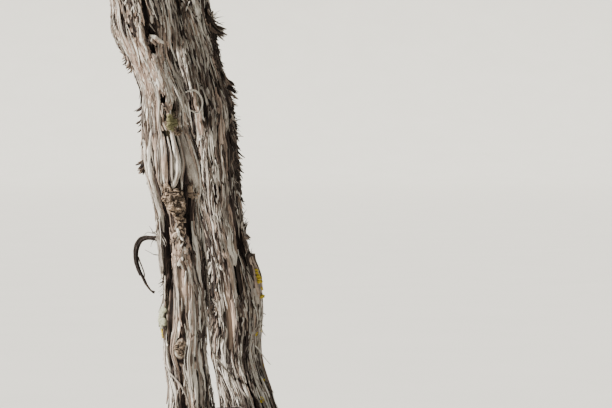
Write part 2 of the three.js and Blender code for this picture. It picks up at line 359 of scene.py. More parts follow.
@dataclass(frozen=True)
class Arm(Limb):
    """An arm that leaves a stem's head, bends up in the plane of its way out and sways a little."""

    name: str
    stem: Stem
    along: float
    way: float
    out_by: float
    up_by: float
    wedge: float
    base_girth: float = 25
    tip_girth: float = 15
    root_rise: float = 6
    root_tall: float = 0.2
    knuckles: tuple[Triple, ...] = ((0.46, 4, 0.07), (0.9, 6, 0.1))
    bend_out: float = 0.64
    bend_up: float = 0.24
    sway: float = 9
    lobes: tuple[Lobe, ...] = (Lobe(2, 0.07, 0.4, 0.012), Lobe(3, 0.06, 1.7, -0.01))
    tip_share: float = 0.08
    tip_closing: float = 0.5

    @property
    def length(self) -> float:
        """The straight length from foot to tip."""
        return math.hypot(self.out_by, self.up_by)

    def _axes(self) -> Arrays:
        """The way out in plan, and the direction aside of it."""
        way = np.array([math.cos(math.radians(self.way)), math.sin(math.radians(self.way)), 0])
        return way, np.array([-way[1], way[0], 0])

    def _points(self) -> tuple[Array, Array, Array]:
        """The Bezier line's three points.

        Returns:
            Its foot, bend and tip.
        """
        foot = self.stem.middle(np.array(self.along / self.stem.length))
        way = self._axes()[0]
        bend_out, bend_up = self.out_by * self.bend_out, self.up_by * self.bend_up
        bend = foot + way * bend_out + UP * bend_up
        return foot, bend, foot + way * self.out_by + UP * self.up_by

    def middle(self, t: Array) -> Array:
        """Bezier line + aside sway t sin(2 pi t)."""
        sway = self.sway * t * np.sin(FULL * np.asarray(t))
        return bezier(t, self._points()) + self._axes()[1] * sway[..., None]

    def frame(self, t: Array) -> Arrays:
        """aside, level and square to the way out, and across = aside x direction."""
        across = np.cross(self._axes()[1], self.along_way(t))
        return across, np.broadcast_to(self._axes()[1], across.shape)

    def along_way(self, t: Array) -> Array:
        """The direction of the Bezier line at t."""
        return bezier_way(t, self._points())

    def girth(self, t: Array) -> Array:
        """A straight taper + the root's bell + each knuckle's bell.

        Args:
            t: shares of its length.

        Returns:
            The radii.
        """
        t = np.asarray(t, float)
        girth = self.base_girth + (self.tip_girth - self.base_girth) * t
        girth = girth + self.root_rise * bell(t, self.root_tall)
        for at, rise, tall in self.knuckles:
            girth = girth + rise * bell(t - at, tall)
        return girth


MAIN_STEM = Stem(
    foot=(0, 0, 0),
    bend=(-50.7, -4.2, 381),
    top=(-122.5, 2.7, 762),
    leans=(Lean(105, (-7, 2), 48), Lean(300, (-4, 6), 60), Lean(485, (5, -6), 70)),
    base_girth=36,
    flare=(12, 30),
    swellings=(Swelling(105, -2, 40), Swelling(480, 3, 60), Swelling(718, 11, 52)),
    lobes=(Lobe(2, 0.05, 0.6, 0.003), Lobe(3, 0.045, 2.1, 0.004), Lobe(5, 0.035, 0.3, 0.0025)),
    knots=(
        Knot(208, RIGHT - 0.1, 7, 38, 0.55),
        Knot(128, LEFT - 0.1, 3, 60, 0.6),
        Knot(172, FRONT - 0.2, -5, 50, 0.22),
        Knot(226, FRONT + 0.34, -9, 36, 0.14),
        Knot(606, 1.9, 11, 20, 0.4),
        Knot(690, FRONT + 0.5, 9, 18, 0.35),
    ),
)

SECOND_STEM = Stem(
    foot=(-85, -95, 0),
    bend=(-92.5, -102.5, 367.5),
    top=(-182.7, -99.7, 735),
    leans=(
        Lean(122, (-6, -2), 46),
        Lean(300, (0, 5), 70),
        Lean(500, (5, -4), 30),
        Lean(582, (-4, 0), 32),
    ),
    base_girth=30.9,
    flare=(11, 30),
    swellings=(Swelling(403, 8, 52), Swelling(600, 8, 40), Swelling(672, 12, 50)),
    lobes=(
        Lobe(2, 0.04, 1.2, -0.002),
        Lobe(3, 0.05, 0.4, -0.003),
        Lobe(5, 0.04, 1.1, -0.0015),
    ),
    knots=(
        Knot(342, FRONT - 0.05, 11, 27, 0.42),
        Knot(268, FRONT - 0.78, -13, 62, 0.24),
        Knot(318, FRONT + 0.66, -9, 32, 0.22),
        Knot(172, LEFT + 0.1, 8, 20, 0.5),
        Knot(127, FRONT - 0.42, 5, 16, 0.32),
        Knot(8, FRONT - 0.1, -15, 58, 0.2),
        Knot(594, LEFT - 0.1, 8, 36, 0.6),
        Knot(594, FRONT + 0.2, -9, 18, 0.24),
        Knot(520, 1.2, 9, 18, 0.4),
    ),
)

ARMS = (
    Arm("right", MAIN_STEM, 710, -25, 186, 138, -8),
    Arm("back_right", MAIN_STEM, 692, 57, 178, 168, 57),
    Arm("back_left", MAIN_STEM, 716, 140, 172, 150, 123),
    Arm("left", SECOND_STEM, 681, 161, 190, 146, 177),
    Arm("front_left", SECOND_STEM, 695, 237, 168, 172, 238),
    Arm("front_right", SECOND_STEM, 673, 315, 182, 150, 299),
)


def set_round(make: Callable[..., object], start: float, *rows: Sequence) -> tuple:
    """make(along, start + turn, the rest) for each row of along, turn and the rest."""
    return tuple(make(along, start + turn, *rest) for along, turn, *rest in rows)


# Meshes


def tube_layout(rings: int, sides: int) -> Arrays:
    """Quads of a closed tube, and their bake map in the unit square.

    The side is unrolled above the two ends, which are filled by quads from rim to rim.

    Args:
        rings: rings of points, from the start to the end.
        sides: points of a ring, an even number, right-handed about the tube's direction.

    Returns:
        Rows of four point numbers, with the faces pointing out, and four places for each.
    """
    j, i = np.meshgrid(np.arange(rings - 1), np.arange(sides), indexing="ij")
    k = (i + 1) % sides
    side = np.stack([j * sides + i, j * sides + k, (j + 1) * sides + k, (j + 1) * sides + i], -1)
    a = np.arange(sides // 2 - 1)
    end = np.stack([a, a + 1, sides - 2 - a, sides - 1 - a], -1)
    faces = np.vstack([side.reshape(-1, 4), end[:, ::-1], end + (rings - 1) * sides])
    corners = [(i, j), (i + 1, j), (i + 1, j + 1), (i, j + 1)]
    side = [np.stack([x / sides, CAP + (1 - CAP) * y / (rings - 1)], -1) for x, y in corners]
    side = np.stack(side, -2)
    x0, x1 = a / (sides // 2), (a + 1) / (sides // 2)
    low = np.zeros_like(x0) + 0.002
    high = low + CAP * 0.4
    end = np.stack([np.stack(p, -1) for p in ((x0, low), (x1, low), (x1, high), (x0, high))], -2)
    return faces, np.concatenate([side.reshape(-1, 4, 2), end[:, ::-1], end + [0, CAP * 0.5]])


@dataclass
class Piece:
    """Gathers closed tubes as whole arrays and turns them into one object.

    Points are in millimetres. Each batch is many tubes of one layout, and each tube gets its own
    cell of the bake map.
    """

    name: str
    points: list[Array] = field(default_factory=list)
    faces: list[Array] = field(default_factory=list)
    maps: list[Array] = field(default_factory=list)
    finishes: list[Array] = field(default_factory=list)
    marks: dict[str, list[Array]] = field(default_factory=dict)
    count: int = 0

    def add(
        self, tubes: Array, finish: Array | int = 0, aspect: float = 8, **marks: Numbers
    ) -> None:
        """Adds a batch of closed tubes.

        Args:
            tubes: points as (tube, ring, side, 3), or (ring, side, 3) for one tube.
            finish: each tube's material number.
            aspect: how many times taller than wide a tube's cell is.
            marks: numbers from 0 to 1 for each tube, ring and side, by attribute name.
        """
        tubes = tubes.reshape(-1, *tubes.shape[-3:])
        n, rings, sides, _ = tubes.shape
        each = rings * sides
        faces, places = tube_layout(rings, sides)
        starts = (self.count + np.arange(n) * each)[:, None, None]
        self.points.append(tubes.reshape(-1, 3))
        self.faces.append((faces[None] + starts).reshape(-1, 4))
        columns = max(1, math.ceil(math.sqrt(n * aspect)))
        rows = math.ceil(n / columns)
        cell = np.stack([np.arange(n) % columns, np.arange(n) // columns], -1)
        inside = MARGIN + (1 - 2 * MARGIN) * places if n > 1 else places
        self.maps.append(((inside + cell[:, None, None]) / [columns, rows]).reshape(-1, 2))
        kinds = np.broadcast_to(np.asarray(finish), (n,))
        self.finishes.append(np.repeat(kinds, len(faces)))
        for name in {**self.marks, **marks}:
            full = np.broadcast_to(held(marks.get(name, 0.0)), (n, rings, sides)).reshape(-1)
            self.marks.setdefault(name, [np.zeros(self.count)] if self.count else []).append(full)
        self.count += n * each

    def build(
        self, finishes: Sequence[Material], slot: Slot, nodes: Iterable[str] = (),
        rounded: bool = True,
    ) -> bpy.types.Object:
        """Batches share the bake map side by side.

        Args:
            finishes: the materials that the finish numbers pick.
            slot: the record's slot; not used.
            nodes: the nodes of the part that it replaces.
            rounded: whether its faces are shaded smooth.

        Returns:
            The finished piece.
        """
        points = np.concatenate(self.points) * MM
        points[:, 2] = np.maximum(points[:, 2], 0)
        faces = np.concatenate(self.faces)
        share = 1 / len(self.maps)
        maps = np.concatenate([(m + [k, 0]) * [share, 1] for k, m in enumerate(self.maps)])
        mesh = bpy.data.meshes.new(self.name)
        mesh.vertices.add(len(points))
        mesh.loops.add(faces.size)
        mesh.polygons.add(len(faces))
        mesh.vertices.foreach_set("co", points.astype(np.float32).ravel())
        mesh.loops.foreach_set("vertex_index", faces.astype(np.int32).ravel())
        mesh.polygons.foreach_set("loop_start", np.arange(0, faces.size, 4, dtype=np.int32))
        mesh.polygons.foreach_set("material_index", np.concatenate(self.finishes).astype(np.int32))
        mesh.polygons.foreach_set("use_smooth", np.full(len(faces), rounded))
        for name, values in self.marks.items():
            data = mesh.attributes.new(name, "FLOAT", "POINT").data
            data.foreach_set("value", np.concatenate(values).astype(np.float32))
        mesh.uv_layers.new(name=BAKE_MAP).data.foreach_set("uv", maps.astype(np.float32).ravel())
        for finish in finishes:
            mesh.materials.append(finish)
        mesh.update(calc_edges=True)
        mesh.validate()
        piece = bpy.data.objects.new(self.name, mesh)
        bpy.context.scene.collection.objects.link(piece)
        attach(piece, BODY)
        for node in nodes:
            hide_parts(node)
        log.info("%s: %d triangles", self.name, 2 * len(faces))
        return piece


# Shader graphs


class Value:
    """A number or colour socket that can stand in Python expressions."""

    def __init__(self, graph: Graph, socket: bpy.types.NodeSocket | None) -> None:
        """Wraps a socket of a graph."""
        self.graph, self.socket = graph, socket

    def _sum(self, operation: str, a: Value | float, b: Value | float) -> Value:
        """Adds one Math node."""
        return self.graph.node("Math", {0: a, 1: b}, operation=operation)

    def __add__(self, other: Value | float) -> Value:
        """self + other."""
        return self._sum("ADD", self, other)

    def __sub__(self, other: Value | float) -> Value:
        """self - other."""
        return self._sum("SUBTRACT", self, other)

    def __rsub__(self, other: float) -> Value:
        """other - self."""
        return self._sum("SUBTRACT", other, self)

    def __mul__(self, other: Value | float) -> Value:
        """self times other."""
        return self._sum("MULTIPLY", self, other)

    __radd__, __rmul__ = __add__, __mul__

    def clamped(self) -> Value:
        """Held between 0 and 1."""
        return self.graph.node("Clamp", {"Value": self})


class Graph:
    """Makes one material's nodes."""

    def __init__(self, name: str) -> None:
        """Starts a material with an empty graph.

        Args:
            name: the material's name.
        """
        self.material = bpy.data.materials.new(name)
        self.material.use_nodes = True
        self.tree = self.material.node_tree
        self.tree.nodes.clear()

    def node(
        self, kind: str, inputs: dict[object, object], out: str | int = 0, **settings: object
    ) -> Value:
        """Adds a node: its settings first, then the values or links of its sockets.

        Args:
            kind: the node's type, without ShaderNode.
            inputs: values or links, by socket name or number.
            out: which of its outputs is wanted.
            settings: its properties by name; stops gives a ramp's places and colours.

        Returns:
            The output, or an empty value where the node has none.
        """
        made = self.tree.nodes.new("ShaderNode" + kind)
        for name, value in settings.items():
            if name == "stops":
                ramp = made.color_ramp
                while len(ramp.elements) < len(value):
                    ramp.elements.new(0.5)
                for element, (place, colour) in zip(ramp.elements, value):
                    element.position, element.color = place, (*colour, 1)
            else:
                setattr(made, name, value)
        for name, value in inputs.items():
            socket = made.inputs[name]
            if isinstance(value, Value):
                self.tree.links.new(value.socket, socket)
            else:
                socket.default_value = value
        return Value(self, made.outputs[out] if made.outputs else None)

    def mark(self, name: str) -> Value:
        """A point attribute's number."""
        return self.node("Attribute", {}, "Fac", attribute_name=name)

    def grain(self, scale: float, stretch: Triple, detail: float = 4) -> Value:
        """Noise from 0 to 1 on object coordinates, stretched along each axis.

        Args:
            scale: cells to a metre.
            stretch: how many times narrower the cells are along each axis.
            detail: octaves.

        Returns:
            The noise.
        """
        here = self.node("TexCoord", {}, "Object")
        placed = self.node("Mapping", {"Vector": here, "Scale": stretch})
        inputs = {"Vector": placed, "Scale": scale, "Detail": detail, "Roughness": GRAIN_ROUGHNESS}
        return self.node("TexNoise", inputs, "Fac")

    def mix(self, factor: Value | float, a: Value | Colour, b: Value | Colour) -> Value:
        """Colour a turned into colour b by factor."""
        a, b = (v if isinstance(v, Value) else (*v, 1) for v in (a, b))
        return self.node("Mix", {0: factor, 6: a, 7: b}, 2, data_type="RGBA")

    def bump(self, height: Value, distance: float, strength: float) -> Value:
        """A normal from a height."""
        return self.node("Bump", {"Strength": strength, "Distance": distance, "Height": height})

    def finish(self, colour: Value, roughness: float, normal: Value, specular: float) -> Material:
        """Closes the graph with a Principled shader.

        Args:
            colour: base colour.
            roughness: roughness, the same all over.
            normal: the bumped normal.
            specular: specular level, the same all over.

        Returns:
            The material.
        """
        inputs = {"Base Color": colour, "Roughness": roughness, "Specular IOR Level": specular}
        shader = self.node("BsdfPrincipled", {**inputs, "Normal": normal})
        self.node("OutputMaterial", {"Surface": shader})
        return self.material


@dataclass(frozen=True)
class OldBarkFinish:
    """Weathered bark under the strips: dark in its furrows, grey on its ridges, partly from painted
    shade in its tone marks.

    The point attributes tone, bare, cork and lichen say where it is pale, stripped to smooth wood,
    corky or grown over.
    """

    name: str
    stops: tuple[tuple[float, Colour], ...] = (
        (0.0, (0.01, 0.008, 0.008)),
        (0.28, (0.06, 0.041, 0.034)),
        (0.5, (0.17, 0.13, 0.105)),
        (0.72, (0.34, 0.29, 0.235)),
        (1.0, (0.64, 0.59, 0.5)),
    )
    bare: Colour = (0.52, 0.4, 0.32)
    cork: Colour = (0.24, 0.165, 0.11)
    lichen: Colour = (0.42, 0.4, 0.2)

    def material(self) -> Material:
        """tone + fine grain through a ramp, then bare wood, cork and lichen over it.

        Returns:
            The material.
        """
        g = Graph(self.name)
        fine = g.grain(620, (1, 1, 0.07))
        broad = g.grain(60, (1, 1, 0.3), 2)
        tone = (g.mark("tone") + (fine - 0.5) * 1.1 + (broad - 0.5) * 0.4).clamped()
        colour = g.node("ValToRGB", {"Fac": tone}, "Color", stops=self.stops)
        worn = g.mix((fine * 2.0 - 0.35).clamped(), (0.2, 0.13, 0.095), self.bare)
        colour = g.mix(g.mark("bare").clamped(), colour, worn)
        corky = g.mix(tone, (0.04, 0.025, 0.018), self.cork)
        colour = g.mix((g.mark("cork") * 0.8).clamped(), colour, corky)
        colour = g.mix((g.mark("lichen") * fine * 1.5).clamped(), colour, self.lichen)
        normal = g.bump(fine + g.grain(1300, (1, 1, 0.1), 2) * 0.5, 0.0008, 0.9)
        return g.finish(colour, 0.92, normal, 0.15)


@dataclass(frozen=True)
class StripFinish:
    """Loose bark of one tone, streaked along its fibres."""

    name: str
    dark: Colour
    pale: Colour
    length: float

    def material(self) -> Material:
        """dark to pale by tone + broad streaks + fine ones, which are 1 / length as long as wide.

        Returns:
            The material.
        """
        g = Graph(self.name)
        streak = g.grain(520, (1, 1, self.length))
        fine = g.grain(1500, (1, 1, 0.6 * self.length), 3)
        tone = (g.mark("tone") + (streak - 0.5) * 1.5 + (fine - 0.5) * 2.0).clamped()
        normal = g.bump(streak * 0.6 + fine, 0.0008, 1.0)
        return g.finish(g.mix(tone, self.dark, self.pale), 0.9, normal, 0.15)


@dataclass(frozen=True)
class CaneFinish:
    """Bark of one-year canes: orange-brown with fine darker grooves, paler and greyer low down."""

    name: str
    dark: Colour = (0.03, 0.012, 0.007)
    warm: Colour = (0.17, 0.062, 0.023)
    pale: Colour = (0.215, 0.135, 0.078)

    def material(self) -> Material:
        """Grooves by stretched grain, then greyed by tone + broad grain + the grooves.

        Returns:
            The material.
        """
        g = Graph(self.name)
        groove, bloom = g.grain(1100, (1, 1, 0.05)), g.grain(130, (1, 1, 0.35), 3)
        colour = g.mix((groove * 2.8 - 0.85).clamped(), self.dark, self.warm)
        greyed = (g.mark("tone") * 0.9 + (bloom - 0.55) * 1.6 + (groove - 0.5) * 0.8).clamped()
        colour = g.mix(greyed, colour, self.pale)
        return g.finish(colour, 0.55, g.bump(groove, 0.0003, 0.8), 0.4)


@dataclass(frozen=True)
class SpeckledFinish:
    """A matt finish speckled between two colours."""

    name: str
    dark: Colour
    pale: Colour
    scale: float
    roughness: float = 0.9

    def material(self) -> Material:
        """dark to pale by speckle.

        Returns:
            The material.
        """
        g = Graph(self.name)
        speckle = g.grain(self.scale, (1, 1, 1))
        colour = g.mix((speckle * 1.8 - 0.4).clamped(), self.dark, self.pale)
        return g.finish(colour, self.roughness, g.bump(speckle, 0.0004, 0.5), 0.2)


@dataclass(frozen=True)
class CutFinish:
    """A pruning cut: pale wood in fine rings round a dark pith, with cracks and a weathered rim.

    The point attributes ring and crack give the share of the radius and the cracks.
    """

    name: str
    pale: Colour = (0.56, 0.4, 0.26)
    grey: Colour = (0.3, 0.25, 0.2)
    dark: Colour = (0.05, 0.03, 0.02)

    def material(self) -> Material:
        """Rings by the sine of the radius, greyed by grain, then the pith and the cracks.

        Returns:
            The material.
        """
        g = Graph(self.name)
        ring, grain = g.mark("ring"), g.grain(500, (1, 1, 1))
        rings = g.node("Math", {0: ring * 42}, operation="SINE")
        worn = (rings * 0.3 + grain * 1.2 - 0.1).clamped()
        colour = g.mix(worn, self.grey, self.pale)
        pith = ((0.2 - ring) * 8).clamped()
        colour = g.mix((pith + g.mark("crack")).clamped(), colour, self.dark)
        colour = g.mix(((ring - 0.82) * 5).clamped(), colour, self.grey)
        return g.finish(colour, 0.8, g.bump(grain, 0.0003, 0.4), 0.2)


# Bark


class Zone(Enum):
    """What a patch of bark is like."""

    BARE = "bare"
    CORK = "cork"
    LICHEN = "lichen"
    PALE = "pale"
    # Dark patches sink and darken the bark: some are real voids, and some are painted shade on
    # flanks the key lamp leaves unlit and in the cleft between the stems.
    DARK = "dark"
    ROSY = "rosy"


@dataclass(frozen=True)
class Patch:
    """A patch of bark round one height and one turn."""

    zone: Zone
    along: float
    turn: float
    tall: float
    wide: float
    strength: float = 1.0

    def share(self, turn: Array, along: Array) -> Array:
        """strength times a bell along times a bell round."""
        near = bell(turn_between(turn, self.turn), self.wide)
        return self.strength * bell(along - self.along, self.tall) * near


@dataclass(frozen=True)
class Eddy:
    """A place that the fibres part round."""

    along: float
    turn: float
    tall: float
    wide: float
    push: float = 0.8

    def drift(self, turn: Array, along: Array) -> Array:
        """- push x e to the power of -(x squared + y squared), for x round and y along.

        Args:
            turn: turns round it.
            along: places along it.

        Returns:
            The turn to add.
        """
        x = turn_between(turn, self.turn) / self.wide
        y = (along - self.along) / self.tall
        return -self.push * self.wide * x * np.exp(-x * x - y * y)


@dataclass(frozen=True)
class Eye:
    """The healed scar of a lost branch: a raised ring round a sunken middle, in millimetres."""

    along: float
    turn: float
    size: float
    rise: float
    sink: float

    def rings(self, turn: Array, along: Array, girth: float) -> Arrays:
        """Lift and tone: a bell on the ring - a bell in the middle, and a dark rim outside.

        Args:
            turn: turns round it.
            along: places along it.
            girth: its radius.

        Returns:
            The lift and the tone to add.
        """
        off = np.hypot(turn_between(turn, self.turn) * girth, along - self.along)
        lift = self.rise * bell(off - self.size, 0.38 * self.size)
        lift = lift - self.sink * bell(off, 0.6 * self.size)
        rim = bell(off - 1.6 * self.size, 0.3 * self.size)
        tone = 0.25 * bell(off - self.size, 0.4 * self.size) - 0.5 * rim
        return lift - 1.5 * rim, tone - 0.35 * bell(off, 0.4 * self.size)


@dataclass(frozen=True)
class Layer:
    """Sizes of one layer of strips in the bark's relief, in millimetres.

    shortest is a strip's least length, height how much strips differ, step how far a strip's foot
    stands over the next one, furrow how deep it is between them, and edge the furrow's share of
    their width.
    """

    shortest: float
    height: float
    step: float
    furrow: float
    edge: float

    def lift(self, high: Array, up: Array, furrow: Array) -> Array:
        """height (high - a half) + step (1 - up) cubed - the furrow's depth times its share."""
        return self.height * (high - 0.5) + self.step * (1 - up) ** 3 - self.furrow * furrow


BROAD_LAYER = Layer(shortest=75, height=1.4, step=1.2, furrow=3, edge=0.13)
LATH_LAYER = Layer(shortest=34, height=0.9, step=0.7, furrow=1, edge=0.18)


@dataclass(frozen=True)
class Bark:
    """The relief of old bark: layers of strips, each with its own breaks, and fine fibres.

    girth is a middling radius, broad, laths and fibres are how many strips of each layer go round,
    and inset is how far the bark lies inside the limb's outline, which its loose strips reach.
    """

    seed: int
    girth: float
    broad: int
    laths: int
    fibres: int
    patches: tuple[Patch, ...] = ()
    eddies: tuple[Eddy, ...] = ()
    eyes: tuple[Eye, ...] = ()
    rise: float = 1.0
    sway: float = 1.0
    inset: float = 2.2

    def share(self, zone: Zone, turn: Array, along: Array) -> Array:
        """How far a place lies in patches of one zone, from 0 to 1."""
        total = sum(p.share(turn, along) for p in self.patches if p.zone is zone)
        return held(total + np.zeros(np.shape(turn)))

    def drift(self, turn: Array, along: Array) -> Array:
        """How far the fibres wander round the limb: two sizes of noise + the eddies, in radians.

        Args:
            turn: turns round it.
            along: places along it.

        Returns:
            The turn to add.
        """
        turns = turn / FULL
        slow = noise(turns, along, 5, 95, self.seed + 1)
        wander = 0.16 * slow + 0.05 * noise(turns, along, 14, 30, self.seed + 2)
        return self.sway * wander + sum(eddy.drift(turn, along) for eddy in self.eddies)

    def follow(self, turn: Array, along: Array) -> Array:
        """The turn of fibres along their length, from their turn at their first place.

        Args:
            turn: each fibre's first turn, as (fibre, 1).
            along: places along each fibre, as (fibre, place).

        Returns:
            The turn that keeps turn + drift the same, found by repeated correction.
        """
        kept = turn + self.drift(turn, along[:, :1])
        bent = np.broadcast_to(turn, along.shape)
        for _ in range(5):
            bent = 0.4 * bent + 0.6 * (kept - self.drift(bent, along))
        return bent

    def _layer(
        self, turns: Array, along: Array, cells: int, layer: Layer, seed: int
    ) -> tuple[Array, Array, Array]:
        """One layer of strips, each broken along its length at its own pitch.

        Args:
            turns: place round the limb, once round being 1.
            along: place along it.
            cells: strips once round.
            layer: its sizes.
            seed: picks the random tables.

        Returns:
            Distance to the strip's edge over its width, place up its length, and height.
        """
        where = (turns % 1) * cells
        column = np.floor(where).astype(int)
        inside = where - column
        pitch = layer.shortest * (1 + dealt(column, np.zeros_like(column), seed))
        place = along / pitch + 9 * dealt(column, np.ones_like(column), seed)
        row = np.floor(place).astype(int)
        return np.minimum(inside, 1 - inside), place - row, dealt(column, row + 2, seed)

    def relief(self, turn: Array, along: Array) -> Arrays:
        """Lift in millimetres = rise (worn strips + each eye) - inset, and tone from 0 to 1.

        Args:
            turn: place round the limb in radians.
            along: place along it in millimetres.

        Returns:
            The lift and the tone.
        """
        lift, tone = self._worn(turn, along, *self._strips(turn, along))
        for eye in self.eyes:
            ring_lift, ring_tone = eye.rings(turn, along, self.girth)
            lift, tone = lift + ring_lift, tone + ring_tone
        return self.rise * lift - self.inset, held(tone)

    def _strips(self, turn: Array, along: Array) -> Arrays:
        """Lift = each layer's height and shingle step - its furrows + fibres + slow swells.

        Tone follows the lift, darker in the furrows partly as painted shade, and each strip's own
        tone.

        Args:
            turn: place round the limb in radians.
            along: place along it in millimetres.

        Returns:
            The lift and the tone.
        """
        bent = (turn + self.drift(turn, along)) / FULL
        edge, up, high = self._layer(bent, along, self.broad, BROAD_LAYER, self.seed + 10)
        open_up = 0.5 + 0.5 * noise(bent, along, self.broad, 50, self.seed + 3)
        furrow = bell(edge, BROAD_LAYER.edge) * (0.35 + open_up)
        lift = BROAD_LAYER.lift(high, up, furrow)
        edge2, up2, high2 = self._layer(bent + 0.013, along, self.laths, LATH_LAYER, self.seed + 20)
        furrow2 = bell(edge2, LATH_LAYER.edge)
        lift += LATH_LAYER.lift(high2, up2, furrow2)
        fibre = noise(bent, along, self.fibres, 16, self.seed + 4)
        fibre2 = noise(bent, along, 2 * self.fibres, 9, self.seed + 5)
        lift += 0.42 * fibre + 0.2 * fibre2
        big = noise(turn / FULL, along, 7, 42, self.seed + 6)
        lift += 1.0 * big - 0.8
        # Partly painted shade: the tone falls in the furrows and rises with each strip's height and
        # on the lifted foot of each step, besides the darker inner bark in the furrows.
        tone = 0.26 + 0.26 * (high - 0.5) + 0.24 * (high2 - 0.5) + 0.18 * fibre + 0.12 * fibre2
        tone += 0.08 * big - 0.45 * furrow - 0.26 * furrow2 + 0.12 * (1 - up2) ** 3
        return lift, tone

    def _worn(self, turn: Array, along: Array, lift: Array, tone: Array) -> Arrays:
        """Lumpy in corky patches, smooth in bare ones, sunk and darker in dark ones, which are
        partly painted shade, and paler in pale ones.

        Args:
            turn: place round the limb in radians.
            along: place along it in millimetres.
            lift: the strips' lift.
            tone: their tone.

        Returns:
            The lift and the tone, each turned by its share of every patch.
        """
        turns = turn / FULL
        lump = noise(turns, along, round(self.girth * 0.62), 9, self.seed + 7)
        lump2 = noise(turns, along, round(self.girth * 1.4), 4.5, self.seed + 8)
        cork, bare = self.share(Zone.CORK, turn, along), self.share(Zone.BARE, turn, along)
        lift = lift * (1 - 0.8 * cork) + (1.8 * lump + 1.0 * lump2) * cork
        tone = tone * (1 - cork) + (0.42 + 0.25 * lump + 0.22 * lump2) * cork
        lift = lift * (1 - 0.85 * bare) - 0.8 * bare
        # Dark patches sink and darken the bark; where they lie on unlit flanks and in clefts the
        # darkening is painted shade.
        dark, pale = self.share(Zone.DARK, turn, along), self.share(Zone.PALE, turn, along)
        return lift - 5 * dark, tone + 0.22 * pale - 0.8 * dark


def box_mean(values: Array, round_by: int, along_by: int) -> Array:
    """The mean of a grid over a window that closes round the limb, from shifted copies.

    Args:
        values: a grid with its rows along the limb.
        round_by: how far the window reaches, in columns.
        along_by: how far it reaches, in rows.

    Returns:
        The mean at each place.
    """
    shifts = [
        (i, j)
        for i in range(-round_by, round_by + 1, max(1, round_by // 2))
        for j in range(-along_by, along_by + 1, max(1, along_by // 2))
    ]
    return sum(np.roll(values, shift, (1, 0)) for shift in shifts) / len(shifts)


def add_bark(
    piece: Piece, limb: Limb, bark: Bark, sides: int, rings: int, fade: Pair = (6, 6)
) -> None:
    """Adds the limb's skin with its bark's relief, as one closed tube.

    Args:
        piece: what it is added to.
        limb: the limb.
        bark: its relief.
        sides: points round it.
        rings: rings along it.
        fade: how far from its foot and its tip the relief fades out, in millimetres.
    """
    t, turn = np.meshgrid(np.linspace(0, 1, rings), np.arange(sides) / sides * FULL, indexing="ij")
    along = t * limb.length
    lift, tone = bark.relief(turn, along)
    ends = smooth(along / fade[0]) * smooth((limb.length - along) / fade[1])
    # Painted shade: the tone is lowered where the relief lies below its local mean, in its hollows,
    # and raised where it stands above it, as ambient occlusion would shade and light it.
    proud = np.clip(lift - box_mean(lift, sides // 40, rings // 60), -2, 1.2)
    zones = (Zone.BARE, Zone.CORK, Zone.LICHEN)
    shares = {zone.value: bark.share(zone, turn, along) for zone in zones}
    piece.add(limb.skin(t, turn, lift * ends), tone=tone + 0.16 * proud, **shares)


# Loose bark


class Tone(Enum):
    """The tones of loose bark, from dark to pale, as finish numbers."""

    DARK = 0
    BROWN = 1
    ROSY = 2
    GREY = 3
    PALE = 4


@dataclass(frozen=True)
class Strips:
    """One kind of loose strip. A pair of numbers is a range that each strip's size is drawn from.

    lift is how far it lies off the bark, bow how far its middle stands off, curl and top_curl how
    far its lower and upper ends do, in millimetres. roll, twist and slant are in radians, and
    tones is the share of each tone.
    """

    count: int
    length: Pair
    width: Pair
    thick: Pair
    lift: Pair
    bow: Pair
    curl: Pair
    top_curl: Pair
    curled: float = 0.3
    roll: float = 0.35
    twist: float = 0.5
    slant: float = 0.05
    wave: float = 0.6
    rings: int = 9
    ridges: int = 0
    tones: tuple[float, ...] = (0.2, 0.25, 0.12, 0.28, 0.15)

    @property
    def middle_off(self) -> float:
        """How far along from its start a strip's middle lies."""
        return -np.mean(self.length) / 2


@dataclass(frozen=True)
class Cluster:
    """Strips that start close together: the place of their starts, and how they stand."""

    along: float
    turn: float
    tall: float
    wide: float
    kind: Strips
    upward: bool = False

    @property
    def way(self) -> float:
        """1 where its strips hang down, or -1 where they stand up."""
        return -1.0 if self.upward else 1.0

    def starts(self, draw: Random, bark: Bark) -> Arrays:
        """Starts round its own place, but not where the bark is sunk.

        Args:
            draw: random numbers.
            bark: the bark.

        Returns:
            Each start's place along and turn.
        """
        along = self.along + self.tall * draw.normal(0, 0.5, self.kind.count)
        turn = self.turn + self.wide * draw.normal(0, 0.5, self.kind.count)
        run = along[:, None] + self.way * self.kind.middle_off * np.linspace(0, 2, 5)
        keep = np.flatnonzero(bark.share(Zone.DARK, turn[:, None], run).max(1) < 0.55)
        return along[keep], turn[keep]


def section(ridges: int, draw: Random, count: int) -> Arrays:
    """Each strip's cross-section, as places across and through.

    Args:
        ridges: 0 for a roof of four points, or an even number of ridges on the outer side.
        draw: random numbers.
        count: strips.

    Returns:
        Place across from 0.5 to -0.5 and back, and place through, as (strip, side).
    """
    if ridges == 0:
        across = np.tile([0.5, 0.0, -0.5, 0.0], (count, 1))
        across[:, 1] += draw.uniform(-0.25, 0.25, count)
        cup = draw.uniform(-0.9, 0.5, count)
        lean = draw.uniform(-0.4, 0.4, count)
        half = np.full(count, 0.5)
        return across, np.stack([cup, half, cup + lean, -half], -1)
    outer = np.linspace(0.5, -0.5, ridges + 2)
    across = np.tile(np.concatenate([outer, [-0.25, 0.25]]), (count, 1))
    cup = draw.uniform(-0.8, 0.6, (count, 1))
    through_it = np.concatenate([4 * cup * outer[None] ** 2, np.repeat(cup * 0.25 - 0.5, 2, 1)], 1)
    through_it[:, 1 : ridges + 1] += draw.uniform(0.1, 1.0, (count, ridges))
    return across, through_it


def pick(draw: Random, low_high: Pair, count: int) -> Array:
    """One number for each strip, as a column."""
    return draw.uniform(*low_high, (count, 1))


